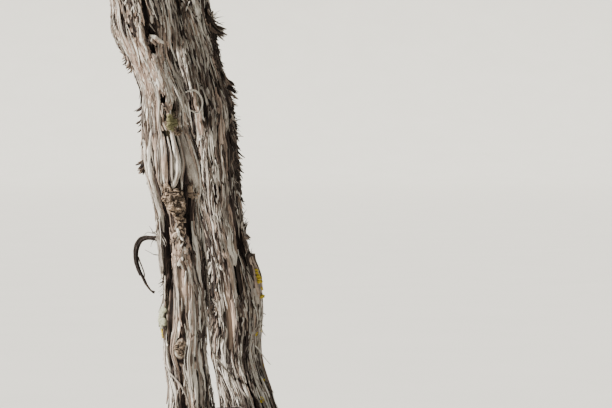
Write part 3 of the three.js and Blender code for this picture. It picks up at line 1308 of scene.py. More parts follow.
def strip_tubes(
    limb: Limb, bark: Bark, kind: Strips, along: Array, turn: Array, draw: Random, way: float = 1
) -> Array:
    """Thin closed strips that run from their starts down or up a limb.

    A strip's middle line follows the fibres, with a wave of its own, and stands off by lift +
    bow sin(pi s) + curl near its free end and top_curl near its start. Its section lies across
    that line, rolls a little and narrows to both ends.

    Args:
        limb: the limb.
        bark: the bark that it follows.
        kind: the kind of strip.
        along: where each one starts.
        turn: the turn that each one starts at.
        draw: random numbers.
        way: 1 to hang down from its start, or -1 to stand up from it.

    Returns:
        Points as (strip, ring, side, 3).
    """
    n = len(along)
    s = np.linspace(0, 1, kind.rings)[None]
    length = pick(draw, kind.length, n)
    run = along[:, None] - way * length * s
    run = np.clip(run, 1.5 + 3 * s, limb.length - 1)
    phase = draw.uniform(0.6, 1.2, (n, 1)) * length * s / 26 + draw.uniform(size=(n, 1))
    bent = bark.follow(turn[:, None], run) + kind.slant * draw.normal(0, 1, (n, 1)) * s
    bent = bent + kind.wave * draw.uniform(size=(n, 1)) * np.sin(FULL * phase) / bark.girth
    curled = draw.uniform(size=(n, 1)) < kind.curled
    topped = draw.uniform(size=(n, 1)) < 0.25
    stand = pick(draw, kind.lift, n) - bark.inset + pick(draw, kind.bow, n) * np.sin(math.pi * s)
    stand = stand + pick(draw, kind.curl, n) * curled * held((s - 0.45) / 0.55) ** 2
    stand = stand + pick(draw, kind.top_curl, n) * topped * held((0.3 - s) / 0.3) ** 2
    t = run / limb.length
    line = limb.skin(t, bent, stand)
    line_way = unit(np.gradient(line, axis=1))
    out = limb.out(t, bent) + 0.2 * UP
    face = unit(out - line_way * np.sum(out * line_way, -1, keepdims=True))
    side = np.cross(face, line_way)
    roll = kind.roll * draw.normal(0, 1, (n, 1))
    roll = (roll + kind.twist * draw.normal(0, 1, (n, 1)) * (s - 0.4))[..., None]
    across = side * np.cos(roll) + face * np.sin(roll)
    up = face * np.cos(roll) - side * np.sin(roll)
    free_end = np.minimum(1, draw.uniform(0.08, 0.5, (n, 1)) + 4.5 * (1 - s))
    ends = np.minimum(1, 0.25 + 5 * s) * free_end
    width = pick(draw, kind.width, n) * ends * (1 + 0.22 * draw.uniform(-1, 1, (n, kind.rings)))
    thick = pick(draw, kind.thick, n) * np.minimum(1, 0.4 + 3 * (1 - s))
    a, b = section(kind.ridges, draw, n)
    spread = across[:, :, None] * (a[:, None] * width[..., None])[..., None]
    return line[:, :, None] + spread + up[:, :, None] * (b[:, None] * thick[..., None])[..., None]


def scattered(draw: Random, limb: Limb, bark: Bark, kind: Strips) -> Arrays:
    """Starts all over a limb, fewer where the bark is bare, corky, sunk or healed.

    Args:
        draw: random numbers.
        limb: the limb.
        bark: its bark.
        kind: the kind of strip.

    Returns:
        Each start's place along and turn.
    """
    tries = int(kind.count * 2)
    along = draw.uniform(0.01, 1.02, tries) * limb.length
    along = along + draw.uniform(0, 0.6, tries) * kind.length[0]
    turn = draw.uniform(0, FULL, tries)
    run = along[:, None] + 2 * kind.middle_off * np.linspace(0, 1, 5)
    bent = bark.follow(turn[:, None], run)
    masked = 1.2 * bark.share(Zone.BARE, bent, run) + 1.1 * bark.share(Zone.CORK, bent, run)
    masked = masked + 1.4 * bark.share(Zone.DARK, bent, run)
    for eye in bark.eyes:
        away = np.hypot(turn_between(bent, eye.turn) * bark.girth, run - eye.along)
        masked = masked + 1.2 * bell(away, 1.5 * eye.size)
    keep = np.flatnonzero(draw.uniform(size=tries) > masked.max(1))[: kind.count]
    return along[keep], turn[keep]


def add_strips(
    piece: Piece, limb: Limb, bark: Bark, kind: Strips, seed: int, cluster: Cluster | None = None
) -> None:
    """Grows one kind of strip all over a limb, or in one cluster, and adds it to a piece.

    Each has a tone by its draw, moved by the patches that it hangs over, and streaks of its own.

    Args:
        piece: what they are added to.
        limb: the limb.
        bark: its bark.
        kind: the kind of strip.
        seed: picks their random numbers.
        cluster: where they stand, if not all over.
    """
    draw = np.random.default_rng(seed)
    if cluster:
        (along, turn), way = cluster.starts(draw, bark), cluster.way
    else:
        (along, turn), way = scattered(draw, limb, bark, kind), 1.0
    tubes = strip_tubes(limb, bark, kind, along, turn, draw, way)
    middle = along + way * kind.middle_off
    # Strips over dark patches get darker tones, so where those patches are painted shade the strips
    # carry it too.
    bias = bark.share(Zone.PALE, turn, middle) - bark.share(Zone.DARK, turn, middle)
    shade = draw.uniform(size=len(along)) + 0.3 * bias
    shade = shade + 0.16 * noise(turn / FULL, middle, 9, 45, bark.seed + 60)
    shade = shade + 0.26 * noise(turn / FULL, middle, round(0.9 * bark.girth), 55, bark.seed + 61)
    finish = np.searchsorted(np.cumsum(kind.tones)[:-1], shade)
    rosy = draw.uniform(size=len(along)) < 0.75 * bark.share(Zone.ROSY, turn, middle)
    finish = np.where(rosy, Tone.ROSY.value, finish)
    n, rings, sides, _ = tubes.shape
    tone = speckled(draw, 0.5, (0.18, n, 1, 1), (0.1, n, rings, 1), (0.16, n, 1, sides))
    piece.add(tubes, finish, tone=tone)


# Tubes along free lines


def tubes_along(
    lines: Array, radii: Array, sides: int, flat: float = 1, start: Triple = (0.3, 0.1, 1)
) -> Array:
    """Round tubes along lines, whose frames are carried from ring to ring without twist.

    Args:
        lines: middle lines as (tube, ring, 3), or one as (ring, 3).
        radii: radii that broadcast to (tube, ring, side).
        sides: points round a tube.
        flat: its thickness over its width.
        start: a direction that the first frame leans on.

    Returns:
        Points as (tube, ring, side, 3).
    """
    lines = lines.reshape(-1, *lines.shape[-2:])
    way = unit(np.gradient(lines, axis=1))
    across = np.empty_like(way)
    carried = np.cross(way[:, 0], np.asarray(start, float))
    for k in range(lines.shape[1]):
        carried = unit(carried - way[:, k] * np.sum(carried * way[:, k], -1, keepdims=True))
        across[:, k] = carried
    aside = np.cross(way, across)
    turn = np.arange(sides) / sides * FULL
    r = np.broadcast_to(radii, (*lines.shape[:2], sides))[..., None]
    ring = across[:, :, None] * np.cos(turn)[:, None]
    ring = ring + flat * aside[:, :, None] * np.sin(turn)[:, None]
    return lines[:, :, None] + r * ring


def on(limb: Limb, turn: float, along: float, lift: float) -> Array:
    """One point off a limb's skin."""
    return limb.skin(np.array([along / limb.length]), np.array([turn]), lift)[0]


def over(limb: Limb, *rows: Sequence[float]) -> list[Array]:
    """Points off a limb's skin, from rows of turn from the front, along and lift."""
    return [on(limb, FRONT + turn, along, lift) for turn, along, lift in rows]


@dataclass(frozen=True)
class Strand:
    """A root, tendril or string of torn bark along points in millimetres."""

    points: Points
    girth: float
    tip_girth: float
    tone: Tone
    flat: float = 0.6
    knobbly: float = 0.12
    shade: float = 0.55

    def add(self, piece: Piece, limb: Limb, seed: int) -> None:
        """Adds the strand: a smooth line through its points, a straight taper and slow noise.

        Args:
            piece: what it is added to.
            limb: the limb that it is on; not used.
            seed: picks its random numbers.
        """
        rings, sides = 14 * (len(self.points) - 1), 8
        line = through(np.asarray(self.points, float), rings)
        draw = np.random.default_rng(seed)
        slow = np.convolve(draw.normal(0, 1, rings + 4), np.ones(5) / 5, "valid")[:, None]
        taper = np.linspace(self.girth, self.tip_girth, rings)[:, None]
        uneven = speckled(draw, slow, (0.6, 1, sides), (0.12, rings, sides))
        radii = taper * (1 + self.knobbly * uneven)
        tone = speckled(draw, self.shade, (0.15, rings, 1), (0.12, 1, sides))
        piece.add(tubes_along(line, radii, sides, self.flat), self.tone.value, tone=tone)


@dataclass(frozen=True)
class Fold:
    """A fold of bark: a rounded ridge along a winding line on a limb, with fibres over it.

    places are the line's points, along and turn from start, width is across the ridge, and rise is
    how far its middle stands above its sides, in millimetres.
    """

    places: Sequence[Pair]
    width: float
    rise: float
    start: float
    tones: tuple[Tone, ...] = (Tone.PALE, Tone.GREY, Tone.ROSY, Tone.GREY, Tone.PALE)
    sink: float = 2.6
    ridge_sides: int = 14
    ridge_rings: int = 44
    fibres: int = 7
    fibre_sides: int = 6
    fibre_rings: int = 26

    def add(self, piece: Piece, limb: Limb, seed: int) -> None:
        """Adds the ridge, then its fibres.

        Args:
            piece: what it is added to.
            limb: the limb that it is on.
            seed: picks its random numbers.
        """
        line = through(np.array(self.places) + [0, self.start], 60)
        shades = np.array([each.value for each in self.tones])
        self._add_ridge(piece, limb, line, shades, seed)
        self._add_fibres(piece, limb, line, shades, np.random.default_rng(seed))

    def _add_ridge(self, piece: Piece, limb: Limb, line: Array, shades: Array, seed: int) -> None:
        """Its section is an ellipse, half width by rise, times 1 + noise and the narrowing.

        Args:
            piece: what it is added to.
            limb: the limb that it is on.
            line: the fold's middle line.
            shades: the finish numbers that it may have.
            seed: picks its noise and its finish.
        """
        round_it = np.arange(self.ridge_sides) / self.ridge_sides
        s = np.linspace(0, 1, self.ridge_rings)[:, None] + 0 * round_it
        along, turn, narrow, girth = self._follow(limb, line, s)
        lumps = 0.22 * noise(round_it, along, 3, 22, seed + 1)
        lumps = lumps + 0.2 * noise(round_it, along, 14, 12, seed + 2)
        wide = 0.5 * self.width * narrow * (1 + lumps) * np.cos(FULL * round_it)
        tall = (self.rise + 1.2) * narrow * (1 + lumps) * np.sin(FULL * round_it)
        tall = tall - 1.6 - self.sink * (1 - narrow)
        tone = 0.42 + 0.9 * lumps + 0.22 * noise(round_it, along, 7, 34, seed + 3)
        ridge = limb.skin(along / limb.length, turn + wide / girth, tall)
        piece.add(ridge, int(shades[seed % len(shades)]), 1, tone=tone)

    def _add_fibres(
        self, piece: Piece, limb: Limb, line: Array, shades: Array, draw: Random
    ) -> None:
        """Their lift = rise (1 - place across squared) narrow - sink at both ends.

        Args:
            piece: what they are added to.
            limb: the limb that they are on.
            line: the fold's middle line.
            shades: the finish numbers that they may have.
            draw: random numbers.
        """
        n, rings, sides = self.fibres, self.fibre_rings, self.fibre_sides
        first, last = draw.uniform(-0.02, 0.34, (n, 1)), draw.uniform(0.62, 1.0, (n, 1))
        s = held(first + (last - first) * np.linspace(0, 1, rings))
        along, turn, narrow, girth = self._follow(limb, line, s)
        off = (np.linspace(-0.46, 0.46, n) + draw.normal(0, 0.05, n))[:, None]
        wave = 0.5 * np.sin(FULL * (1.6 * s + draw.uniform(size=(n, 1))))
        wave = wave * draw.uniform(0.3, 1, (n, 1))
        turn = turn + (off * self.width * narrow + wave) / girth
        lift = self.rise * (1 - 4 * off**2) * narrow + draw.uniform(-0.7, 0.7, (n, 1))
        lift = lift - self.sink * (1 - narrow) - 0.8
        lines = limb.skin(along / limb.length, turn, lift)
        own = np.linspace(0, 1, rings)
        thick = draw.uniform(0.5, 1.4, (n, 1)) * held(6 * (1 - own) + 0.3) * held(8 * own + 0.4)
        radii = thick[..., None] * speckled(draw, 1, (0.14, n, 1, sides))
        tone = speckled(draw, 0.5, (0.2, n, 1, 1), (0.07, n, rings, 1))
        dark, finish = draw.uniform(size=n) < 0.2, draw.integers(0, 2, n)
        finish = np.where(dark, finish, shades[draw.integers(0, len(shades), n)])
        piece.add(tubes_along(lines, radii, sides), finish, tone=tone)

    def _follow(self, limb: Limb, line: Array, s: Array) -> tuple[Array, Array, Array, Array]:
        """Place along, turn, narrowing = sin(pi s)^0.4 and the limb's girth.

        Args:
            limb: the limb that it is on.
            line: the fold's middle line.
            s: shares of its length.

        Returns:
            Place along, turn, narrowing and the limb's girth, for each share.
        """
        at, last = np.arange(len(line)), len(line) - 1
        along, turn = (np.interp(s * last, at, line[:, k]) for k in range(2))
        narrow = held(np.sin(math.pi * np.clip(s, 0.02, 0.98))) ** 0.4
        return along, turn, narrow, limb.girth(along / limb.length)


def spike(limb: Limb, turn: float, along: float, reach: float, climb: float) -> list[Array]:
    """Four points of a splinter that stands out of a limb.

    Args:
        limb: the limb that it is on.
        turn: its turn.
        along: its place along the limb.
        reach: its length.
        climb: how far it climbs for each unit out, or with a negative one droops.

    Returns:
        The points, from its root.
    """
    foot = on(limb, turn, along, -1.5)
    way = unit(limb.out(np.array([0.5]), np.array([turn]))[0] + climb * UP)
    lifted = foot + way * reach * 0.75 + 0.6 * UP
    return [foot, foot + way * reach * 0.4, lifted, foot + way * reach]


@dataclass(frozen=True)
class Burl:
    """A wrinkled lump of cork, healed wood or crust on a limb's skin, in millimetres.

    Its half width and half height lie along the skin. It stands proud from sink below the skin,
    pitch is the width of its lumps, depth the size of its relief, grade how fine its mesh is, and
    ragged how uneven its rim is.
    """

    along: float
    turn: float
    half_wide: float
    half_tall: float
    proud: float
    sink: float
    pitch: float
    depth: float
    grade: float = 1.0
    finish: int = 0
    corky: bool = True
    ragged: float = 1.0

    def add(self, piece: Piece, limb: Limb, seed: int) -> None:
        """Adds the lump, with tilt running from under its rim up to its middle.

        Reach along the skin = half size cos(tilt) (1 + slow noise), and lift = proud sin(tilt) -
        sink + depth (three sizes of |noise|, which makes round lumps with sharp crevices).

        Args:
            piece: what it is added to.
            limb: the limb that it is on.
            seed: picks its random numbers.
        """
        size = math.sqrt(self.half_wide * self.half_tall)
        rings, sides = int(10 + 1.4 * self.grade * size), 2 * int(8 + 1.2 * self.grade * size)
        tilts, round_it = np.linspace(-0.8, 1.55, rings), np.arange(sides) / sides
        tilt, turns = np.meshgrid(tilts, round_it, indexing="ij")
        span, fade = size * tilt, np.sqrt(held(np.cos(tilt)))
        rim = held(np.cos(tilt)) ** 0.8
        uneven = 0.22 * noise(turns, 0 * span, 5, 30, seed)
        uneven = uneven + 0.12 * noise(turns, span, 11, 16, seed + 1)
        rim = rim * (1 + self.ragged * uneven)
        wide = self.half_wide * rim * np.cos(FULL * turns)
        tall = self.half_tall * rim * np.sin(FULL * turns)
        bent = tall + 0.4 * self.pitch * noise(wide / 100, tall, 12, 9, seed + 2)
        lumps, small, grit = (
            2.6 * np.abs(noise(wide / 100 + 0.5, bent, round(100 / pitch), pitch, own_seed)) * fade
            for own_seed, pitch in enumerate(
                (self.pitch, 0.55 * self.pitch, 0.28 * self.pitch), seed + 3
            )
        )
        relief = lumps + 0.45 * small + 0.22 * grit - 0.9
        lift = self.proud * np.sin(tilt) - self.sink
        lift = lift + self.depth * relief * smooth((tilt + 0.8) / 0.6)
        t = np.clip(self.along + tall, 2, limb.length - 1) / limb.length
        turn = self.turn + wide / limb.girth(t)
        # Painted shade and highlight: the tone follows the relief, dark in the crevices and pale on
        # the lumps' tops, over the cork's own colour; the lichens' finish does not read it.
        tone = 0.36 * lumps + 0.34 * small + 0.26 * grit - 0.24
        piece.add(limb.skin(t, turn, lift), self.finish, 1, tone=tone)


def crust(
    along: float, turn: float, tall: float, wide: float, lobes: int, finish: int = 0,
    proud: float = 2.2, sink: float = 1.0,
) -> tuple[Burl, ...]:
    """Overlapping ragged lobes of lichen on a patch with half sizes tall and wide, in millimetres.

    Args:
        along: its middle's place along the limb.
        turn: its middle's turn.
        tall: its half height.
        wide: its half width.
        lobes: how many lobes it has.
        finish: their material number.
        proud: how far they stand out.
        sink: how far under the skin they start.

    Returns:
        The lobes.
    """
    draw = np.random.default_rng(round(along + 10 * wide))
    places = draw.normal(0, 0.42, (lobes, 2))
    sizes = draw.uniform(0.28, 0.55, (lobes, 2)) * math.sqrt(tall * wide)
    return tuple(
        Burl(
            along + tall * y, turn + wide * x / STEM_GIRTH, max(1.6, broad), max(1.6, high),
            proud, sink, pitch=2.3, depth=1.1, grade=0.8, finish=finish, corky=False, ragged=2.2,
        )
        for (x, y), (broad, high) in zip(places, sizes)
    )


def crusts(start: float, *rows: Sequence[float]) -> tuple[Burl, ...]:
    """The lobes of several crusts, with turns counted from start."""
    return sum(set_round(crust, start, *rows), ())


# Profiles of cut faces, as places out of the cut in millimetres and shares of the radius.
STUMP_FACE = (
    (-1.6, 0.9), (0.5, 0.95), (0.9, 0.9), (0.8, 0.74), (0.95, 0.56), (0.8, 0.38), (0.9, 0.2),
    (0.5, 0.05),
)
CANE_FACE = ((-0.8, 0.8), (0.3, 0.97), (0.45, 0.8), (0.4, 0.5), (0.35, 0.3), (0.05, 0.12))


@dataclass(frozen=True)
class Stub:
    """The stump of a pruned shoot: it stands out of a limb and ends in a flat cut."""

    along: float
    turn: float
    length: float
    girth: float
    climb: float = 0.35

    def add(self, bark_piece: Piece, cut_piece: Piece, limb: Limb, seed: int) -> None:
        """Adds the stump and its cut face.

        The stump's radius = girth (1 + a root flare + a rim of callus + ridges along it). The cut
        face is turned from rings of falling radius, with its share of the radius marked.

        Args:
            bark_piece: what the stump is added to.
            cut_piece: what its cut face is added to.
            limb: the limb that it is on.
            seed: picks its random numbers.
        """
        draw = np.random.default_rng(seed)
        rings, sides = 18, 28
        t, turn = np.array([self.along / limb.length]), np.array([self.turn])
        out = unit(limb.out(t, turn)[0] + self.climb * UP)
        foot = limb.skin(t, turn, -0.6 * self.girth)[0]
        s = np.linspace(0, 1, rings)[:, None]
        line = foot + out * s * (self.length + 0.6 * self.girth)
        round_it = np.arange(sides) / sides
        along = s * self.length
        ridges = noise(round_it, along, 13, 9, seed) + 0.6 * noise(round_it, along, 27, 6, seed + 1)
        shape = 1 + 0.55 * np.exp(-s / 0.16) + 0.1 * bell(s - 0.93, 0.06) + 0.07 * ridges
        bark_piece.add(tubes_along(line, self.girth * shape, sides), tone=0.42 + 0.3 * ridges)
        profile = np.array(STUMP_FACE)
        face = line[-1] + out * profile[:, :1]
        cracks = bell(noise(round_it, profile[:, 1:] * 3, 9, 4, seed + 2), 0.1)
        radii = self.girth * profile[:, 1:] * speckled(draw, 1, (0.03, 1, sides))
        tubes = tubes_along(face, radii, sides, start=(0.3, 0.9, 0.2))
        cut_piece.add(tubes, 0, 1, ring=profile[:, 1:], crack=cracks)


# Crown


class Draws:
    """The same numbers each time for one seed: state = (state times factor + shift) mod 2^32."""

    FACTOR, SHIFT, STATES = 1664525, 1013904223, 2**32

    def __init__(self, seed: int) -> None:
        """Starts at a seed."""
        self.state = seed

    def __call__(self, low: float, high: float) -> float:
        """The next number between low and high."""
        self.state = (self.state * self.FACTOR + self.SHIFT) % self.STATES
        return low + (high - low) * self.state / self.STATES


@dataclass(frozen=True)
class Crown:
    """The space that the canes may fill, shared out in wedges, in millimetres and degrees."""

    middle: Pair = (-140, -50)
    half_angle: float = 25
    near: float = 105
    far: float = 455
    low: float = 742
    high: float = 1412
    clearance: float = 4
    limb_samples: int = 30
    twig_samples: int = 3

    def fits(self, twig: Twig, wedge: float, limbs: Sequence[Limb]) -> bool:
        """Whether all of a twig past its root is in the wedge and clear of every limb.

        Args:
            twig: the twig.
            wedge: the way of its arm's wedge.
            limbs: what it keeps clear of.

        Returns:
            Whether it fits.
        """
        step = np.arange(1, self.twig_samples + 1)[None, :, None] / self.twig_samples
        first, last = twig.places[:-1, None], twig.places[1:, None]
        at = (first + (last - first) * step).reshape(-1, 3)
        girth = np.repeat(twig.girths[1:], self.twig_samples)
        x, y = at[:, 0] - self.middle[0], at[:, 1] - self.middle[1]
        off = np.abs(turn_between(np.arctan2(y, x), math.radians(wedge)))
        away = np.hypot(x, y)
        inside = (away * (math.radians(self.half_angle) - off) > girth) & (away > self.near)
        inside &= (away < self.far) & (at[:, 2] > self.low) & (at[:, 2] < self.high)
        if not inside.all():
            return False
        t = np.arange(self.limb_samples + 1) / self.limb_samples
        for limb in limbs:
            gap = np.linalg.norm(at[:, None] - limb.middle(t)[None], axis=-1)
            if (gap - limb.girth(t)[None] - girth[:, None]).min() < self.clearance:
                return False
        return True


@dataclass(frozen=True)
class Growth:
    """How one kind of shoot grows. lean and swing are in degrees, span is between two joints."""

    girth: float
    tip_girth: float
    joints: tuple[int, int]
    span: Pair
    count: int = 0
    tries: int = 1
    first: float = 0
    lean: Pair = (0, 0)
    swing: float = 0
    chance: float = 0
    lowest: int = 1


CANE = Growth(4.7, 1.9, (5, 9), (50, 72), count=5, tries=9, first=0.1, lean=(8, 52), swing=62)
SPUR = Growth(5.6, 4.9, (1, 2), (34, 46), count=2, tries=6, first=0.3, lean=(20, 75), swing=80)
SHOOT = Growth(2.6, 1.4, (2, 4), (34, 48), lean=(44, 44), chance=0.3, lowest=2)
LATERAL = Growth(1.25, 0.6, (2, 4), (15, 27), lean=(52, 52), chance=0.42, lowest=1)
ZIGZAG, LIFT, WANDER = 0.1, 0.055, 0.07
OLD_WOOD_LENGTH, OLD_WOOD_CLIMB = 74.0, 0.5
OLD_WOOD_SUNK, OLD_WOOD_GIRTHS = 14, (13, 12.2, 11.5, 8.5)
SEAM = 0.34
LATERAL_SEED = 77


@dataclass(frozen=True, eq=False)
class Twig:
    """A shoot's joints: their places and girths."""

    places: Array
    girths: Array
    kind: Growth


def heading_of(lean: float, turn: float) -> Array:
    """A direction that leans from upright towards a turn."""
    out, up = math.sin(lean), math.cos(lean)
    return np.array([out * math.cos(turn), out * math.sin(turn), up])


def grow_twig(draw: Draws, start: Array, heading: Array, kind: Growth) -> Twig:
    """A twig that turns a little to one side and to the other from joint to joint, and lifts.

    Args:
        draw: random numbers.
        start: its foot.
        heading: its first direction.
        kind: how it grows.

    Returns:
        The twig.
    """
    count = math.floor(draw(kind.joints[0], kind.joints[1] + 1))
    length = draw(*kind.span)
    places, way = [start], heading.copy()
    side = unit(np.cross(heading, UP))
    for i in range(1, count + 1):
        way = way + side * ((ZIGZAG if i % 2 else -ZIGZAG) + draw(-WANDER, WANDER))
        way = unit(way + UP * (LIFT + draw(-WANDER, WANDER)))
        places.append(places[-1] + way * length)
    girths = kind.girth + (kind.tip_girth - kind.girth) * np.arange(count + 1) / count
    return Twig(np.array(places), girths, kind)


def joints_of(twigs: Iterable[Twig]) -> Iterator[tuple[int, Array, float, Array]]:
    """The joints of twigs between their feet and tips.

    Args:
        twigs: the twigs.

    Yields:
        Number, place, girth and direction of each joint.
    """
    for twig in twigs:
        for i in range(1, len(twig.places) - 1):
            yield i, twig.places[i], twig.girths[i], unit(twig.places[i + 1] - twig.places[i - 1])


@dataclass(frozen=True, eq=False)
class Bough(Limb):
    """A limb through given places, round in section."""

    places: Array
    girths: tuple[float, ...]
    samples: int = 61

    @property
    def length(self) -> float:
        """The length from place to place."""
        return float(np.linalg.norm(np.diff(self.places, axis=0), axis=1).sum())

    def middle(self, t: Array) -> Array:
        """The smooth line through the places, read between its points.

        Args:
            t: shares of its length.

        Returns:
            The points.
        """
        line = through(self.places, self.samples)
        at = held(np.asarray(t, float)) * (self.samples - 1)
        return np.stack([np.interp(at, np.arange(self.samples), line[:, k]) for k in range(3)], -1)

    def frame(self, t: Array) -> Arrays:
        """aside, level and square to the line's way, and across = aside x way.

        Args:
            t: shares of its length.

        Returns:
            across and aside.
        """
        t = np.asarray(t, float)
        way = unit(self.middle(t + 0.02) - self.middle(t - 0.02))
        aside = unit(np.cross(UP, way))
        return np.cross(aside, way), aside

    def girth(self, t: Array) -> Array:
        """The girths, read between the places."""
        return np.interp(np.asarray(t, float), np.linspace(0, 1, len(self.girths)), self.girths)


class CaneMass:
    """The canes of one arm, grown by the part's own rule and carried on to finer laterals."""

    def __init__(self, arm: Arm, seed: int, limbs: Sequence[Limb], crown: Crown) -> None:
        """Grows the mass: the old wood, canes, spurs and shoots, and then the laterals.

        Args:
            arm: what it grows on.
            seed: picks its random numbers.
            limbs: what it keeps clear of.
            crown: the space that it may fill.
        """
        self.arm, self.crown, self.limbs = arm, crown, limbs
        draw = Draws(seed)
        tip, along = arm.middle(np.array(1.0)), arm.along_way(np.array(1.0))
        climb = unit(along + UP * OLD_WOOD_CLIMB)
        root = tip + along * SEAM
        bend = root + along * OLD_WOOD_LENGTH / 3
        end = bend + climb * OLD_WOOD_LENGTH * 2 / 3
        foot = tip - along * OLD_WOOD_SUNK
        self.old_wood = Bough(np.array([foot, root, bend, end]), OLD_WOOD_GIRTHS)
        self.canes = self._set(draw, CANE, bend, end)
        self.spurs = self._set(draw, SPUR, bend, end)
        self.shoots = self._side_shoots(draw, self.canes, SHOOT)
        carriers = self.canes + self.shoots
        self.laterals = self._side_shoots(Draws(seed + LATERAL_SEED), carriers, LATERAL)

    def _set(self, draw: Draws, kind: Growth, bend: Array, end: Array) -> list[Twig]:
        """Shoots that leave the old wood at even steps.

        Args:
            draw: random numbers.
            kind: how they grow.
            bend: the first place that they leave.
            end: the last one.

        Returns:
            The shoots that fit.
        """
        grown = []
        for n in range(kind.count):
            start = bend + (end - bend) * (kind.first + (1 - kind.first) * n / (kind.count - 1))
            for _ in range(kind.tries):
                lean = math.radians(draw(*kind.lean))
                turn = math.radians(self.arm.wedge + draw(-kind.swing, kind.swing))
                twig = grow_twig(draw, start, heading_of(lean, turn), kind)
                if self.crown.fits(twig, self.arm.wedge, self.limbs):
                    grown.append(twig)
                    break
        return grown

    def _side_shoots(self, draw: Draws, carriers: Sequence[Twig], kind: Growth) -> list[Twig]:
        """Shoots on the joints of other shoots.

        Args:
            draw: random numbers.
            carriers: what they grow on.
            kind: how they grow.

        Returns:
            The shoots that fit.
        """
        grown = []
        for carrier in carriers:
            for i in range(kind.lowest, len(carrier.places) - 1):
                if draw(0, 1) > kind.chance:
                    continue
                heading = unit(carrier.places[i] - carrier.places[i - 1])
                aside = heading_of(math.pi / 2, draw(0, FULL))
                heading = unit(heading + aside * math.tan(math.radians(kind.lean[0])))
                shoot = grow_twig(draw, carrier.places[i], heading, kind)
                if self.crown.fits(shoot, self.arm.wedge, self.limbs):
                    grown.append(shoot)
        return grown

    def add(self, canes: Piece, buds: Piece, tendrils: Piece, cuts: Piece, seed: int) -> None:
        """Adds the mass to its pieces, shoots with as many joints together.

        Args:
            canes: gets the twigs.
            buds: gets the buds.
            tendrils: gets the tendrils.
            cuts: gets the cut faces.
            seed: picks their random numbers.
        """
        twigs = self.canes + self.spurs + self.shoots + self.laterals
        draw = np.random.default_rng(seed)
        for count in sorted({len(twig.places) for twig in twigs}):
            self._add_twigs(canes, [twig for twig in twigs if len(twig.places) == count], draw)
        self._add_buds(buds, [t for t in twigs if t.kind is not LATERAL], draw)
        self._add_tendrils(tendrils, self.canes + self.shoots, draw)
        self._add_cuts(cuts, self.spurs + self.canes[::2], draw)

    def _add_twigs(self, piece: Piece, twigs: Sequence[Twig], draw: Random) -> None:
        """Tubes with a swollen ring at each joint, and grooves along them.

        Args:
            piece: what they are added to.
            twigs: shoots with as many joints.
            draw: random numbers.
        """
        n, joints, per, sides = len(twigs), len(twigs[0].places), 9, 10
        rings = (joints - 1) * per + 1
        lines = np.stack([through(twig.places, rings) for twig in twigs])
        at = np.arange(rings) / per
        girths = np.stack([np.interp(at, np.arange(joints), twig.girths) for twig in twigs])
        off = np.abs(at - np.round(at))
        swell = 1 + 0.42 * bell(off, 0.09) - 0.05 * bell(off - 0.25, 0.1)
        swell[0], swell[-1] = 1, 0.92
        small = np.array([[twig.kind is LATERAL] for twig in twigs])
        collar = np.array([[0.75 if twig.kind in (CANE, SPUR) else 0.35] for twig in twigs])
        swell = swell + collar * (bell(at, 0.14) + 0.25 * bell(at - 0.22, 0.05))
        grooves = speckled(draw, 0, (0.05, n, 1, sides), (0.03, n, rings, sides))
        radii = (girths * swell)[..., None] * (1 + grooves)
        tone = (0.12 + np.exp(-at / 0.8) * 0.45 * (1 - small) + 0.2 * bell(off, 0.06))[..., None]
        tone = speckled(draw, tone, (0.14, n, 1, 1), (0.1, n, 1, sides))
        piece.add(tubes_along(lines, radii, sides), small[:, 0].astype(int), tone=tone)

    def _add_buds(self, piece: Piece, twigs: Sequence[Twig], draw: Random) -> None:
        """A pointed bud at each joint, on one side and then on the other, that leans outwards.

        Args:
            piece: what they are added to.
            twigs: what they grow on.
            draw: random numbers.
        """
        feet, ways, sizes = [], [], []
        for i, place, girth, way in joints_of(twigs):
            side = unit(np.cross(way, [0.2, 0.3, 1.0])) * (1 if i % 2 else -1)
            feet.append(place + side * girth * 0.9 + way * 0.8)
            ways.append(unit(side + 0.9 * way))
            sizes.append(0.55 + 0.13 * girth)
        n, sides, shape = len(feet), 8, np.array([2.1, 2.7, 2.9, 2.5, 1.8, 1.0, 0.25])[:, None]
        size = (np.array(sizes) * draw.uniform(0.8, 1.25, n))[:, None, None]
        s = np.linspace(0, 1, len(shape))[:, None]
        lines = np.array(feet)[:, None] + np.array(ways)[:, None] * (s * 8.5 * size)
        radii = size * shape * speckled(draw, 1, (0.07, n, len(shape), sides))
        tone = speckled(draw, 0.25 + 0.6 * s**2, (0.1, n, 1, sides))
        piece.add(tubes_along(lines, radii, sides, 0.8), 0, 2, tone=tone)

    def _add_tendrils(self, piece: Piece, twigs: Sequence[Twig], draw: Random) -> None:
        """Dry tendrils: a straight stretch out of a joint, and then a coil that tightens.

        Args:
            piece: what they are added to.
            twigs: what they grow on.
            draw: random numbers.
        """
        starts, ways = [], []
        for _, place, _, way in joints_of(twigs):
            if draw.uniform() < 0.4:
                starts.append(place)
                ways.append(unit(unit(np.cross(way, draw.normal(0, 1, 3))) + 0.5 * way))
        n, rings, sides = len(starts), 34, 4
        s = np.linspace(0, 1, rings)
        way = np.array(ways)
        side = unit(np.cross(way, draw.normal(0, 1, (n, 3))))
        other = np.cross(way, side)
        coil = FULL * draw.uniform(0.8, 2.6, n)[:, None] * held((s - 0.35) / 0.65) ** 1.4
        sag = 0.5 * np.sin(math.pi * s)[None] * draw.uniform(-1, 1, n)[:, None]
        bent = (coil + sag)[..., None]
        heading = way[:, None] * np.cos(bent) + side[:, None] * np.sin(bent)
        heading = heading + other[:, None] * (0.28 * held((s - 0.4) / 0.6))[None, :, None]
        step = draw.uniform(32, 62, n)[:, None, None] / rings
        step = step * np.linspace(1.25, 0.6, rings)[None, :, None]
        lines = np.array(starts)[:, None] + np.cumsum(heading * step, axis=1)
        radii = np.linspace(0.95, 0.38, rings)[:, None] * speckled(draw, 1, (0.08, n, rings, sides))
        piece.add(tubes_along(lines, radii, sides), 0, 10, tone=speckled(draw, 0.5, (0.2, n, 1, 1)))

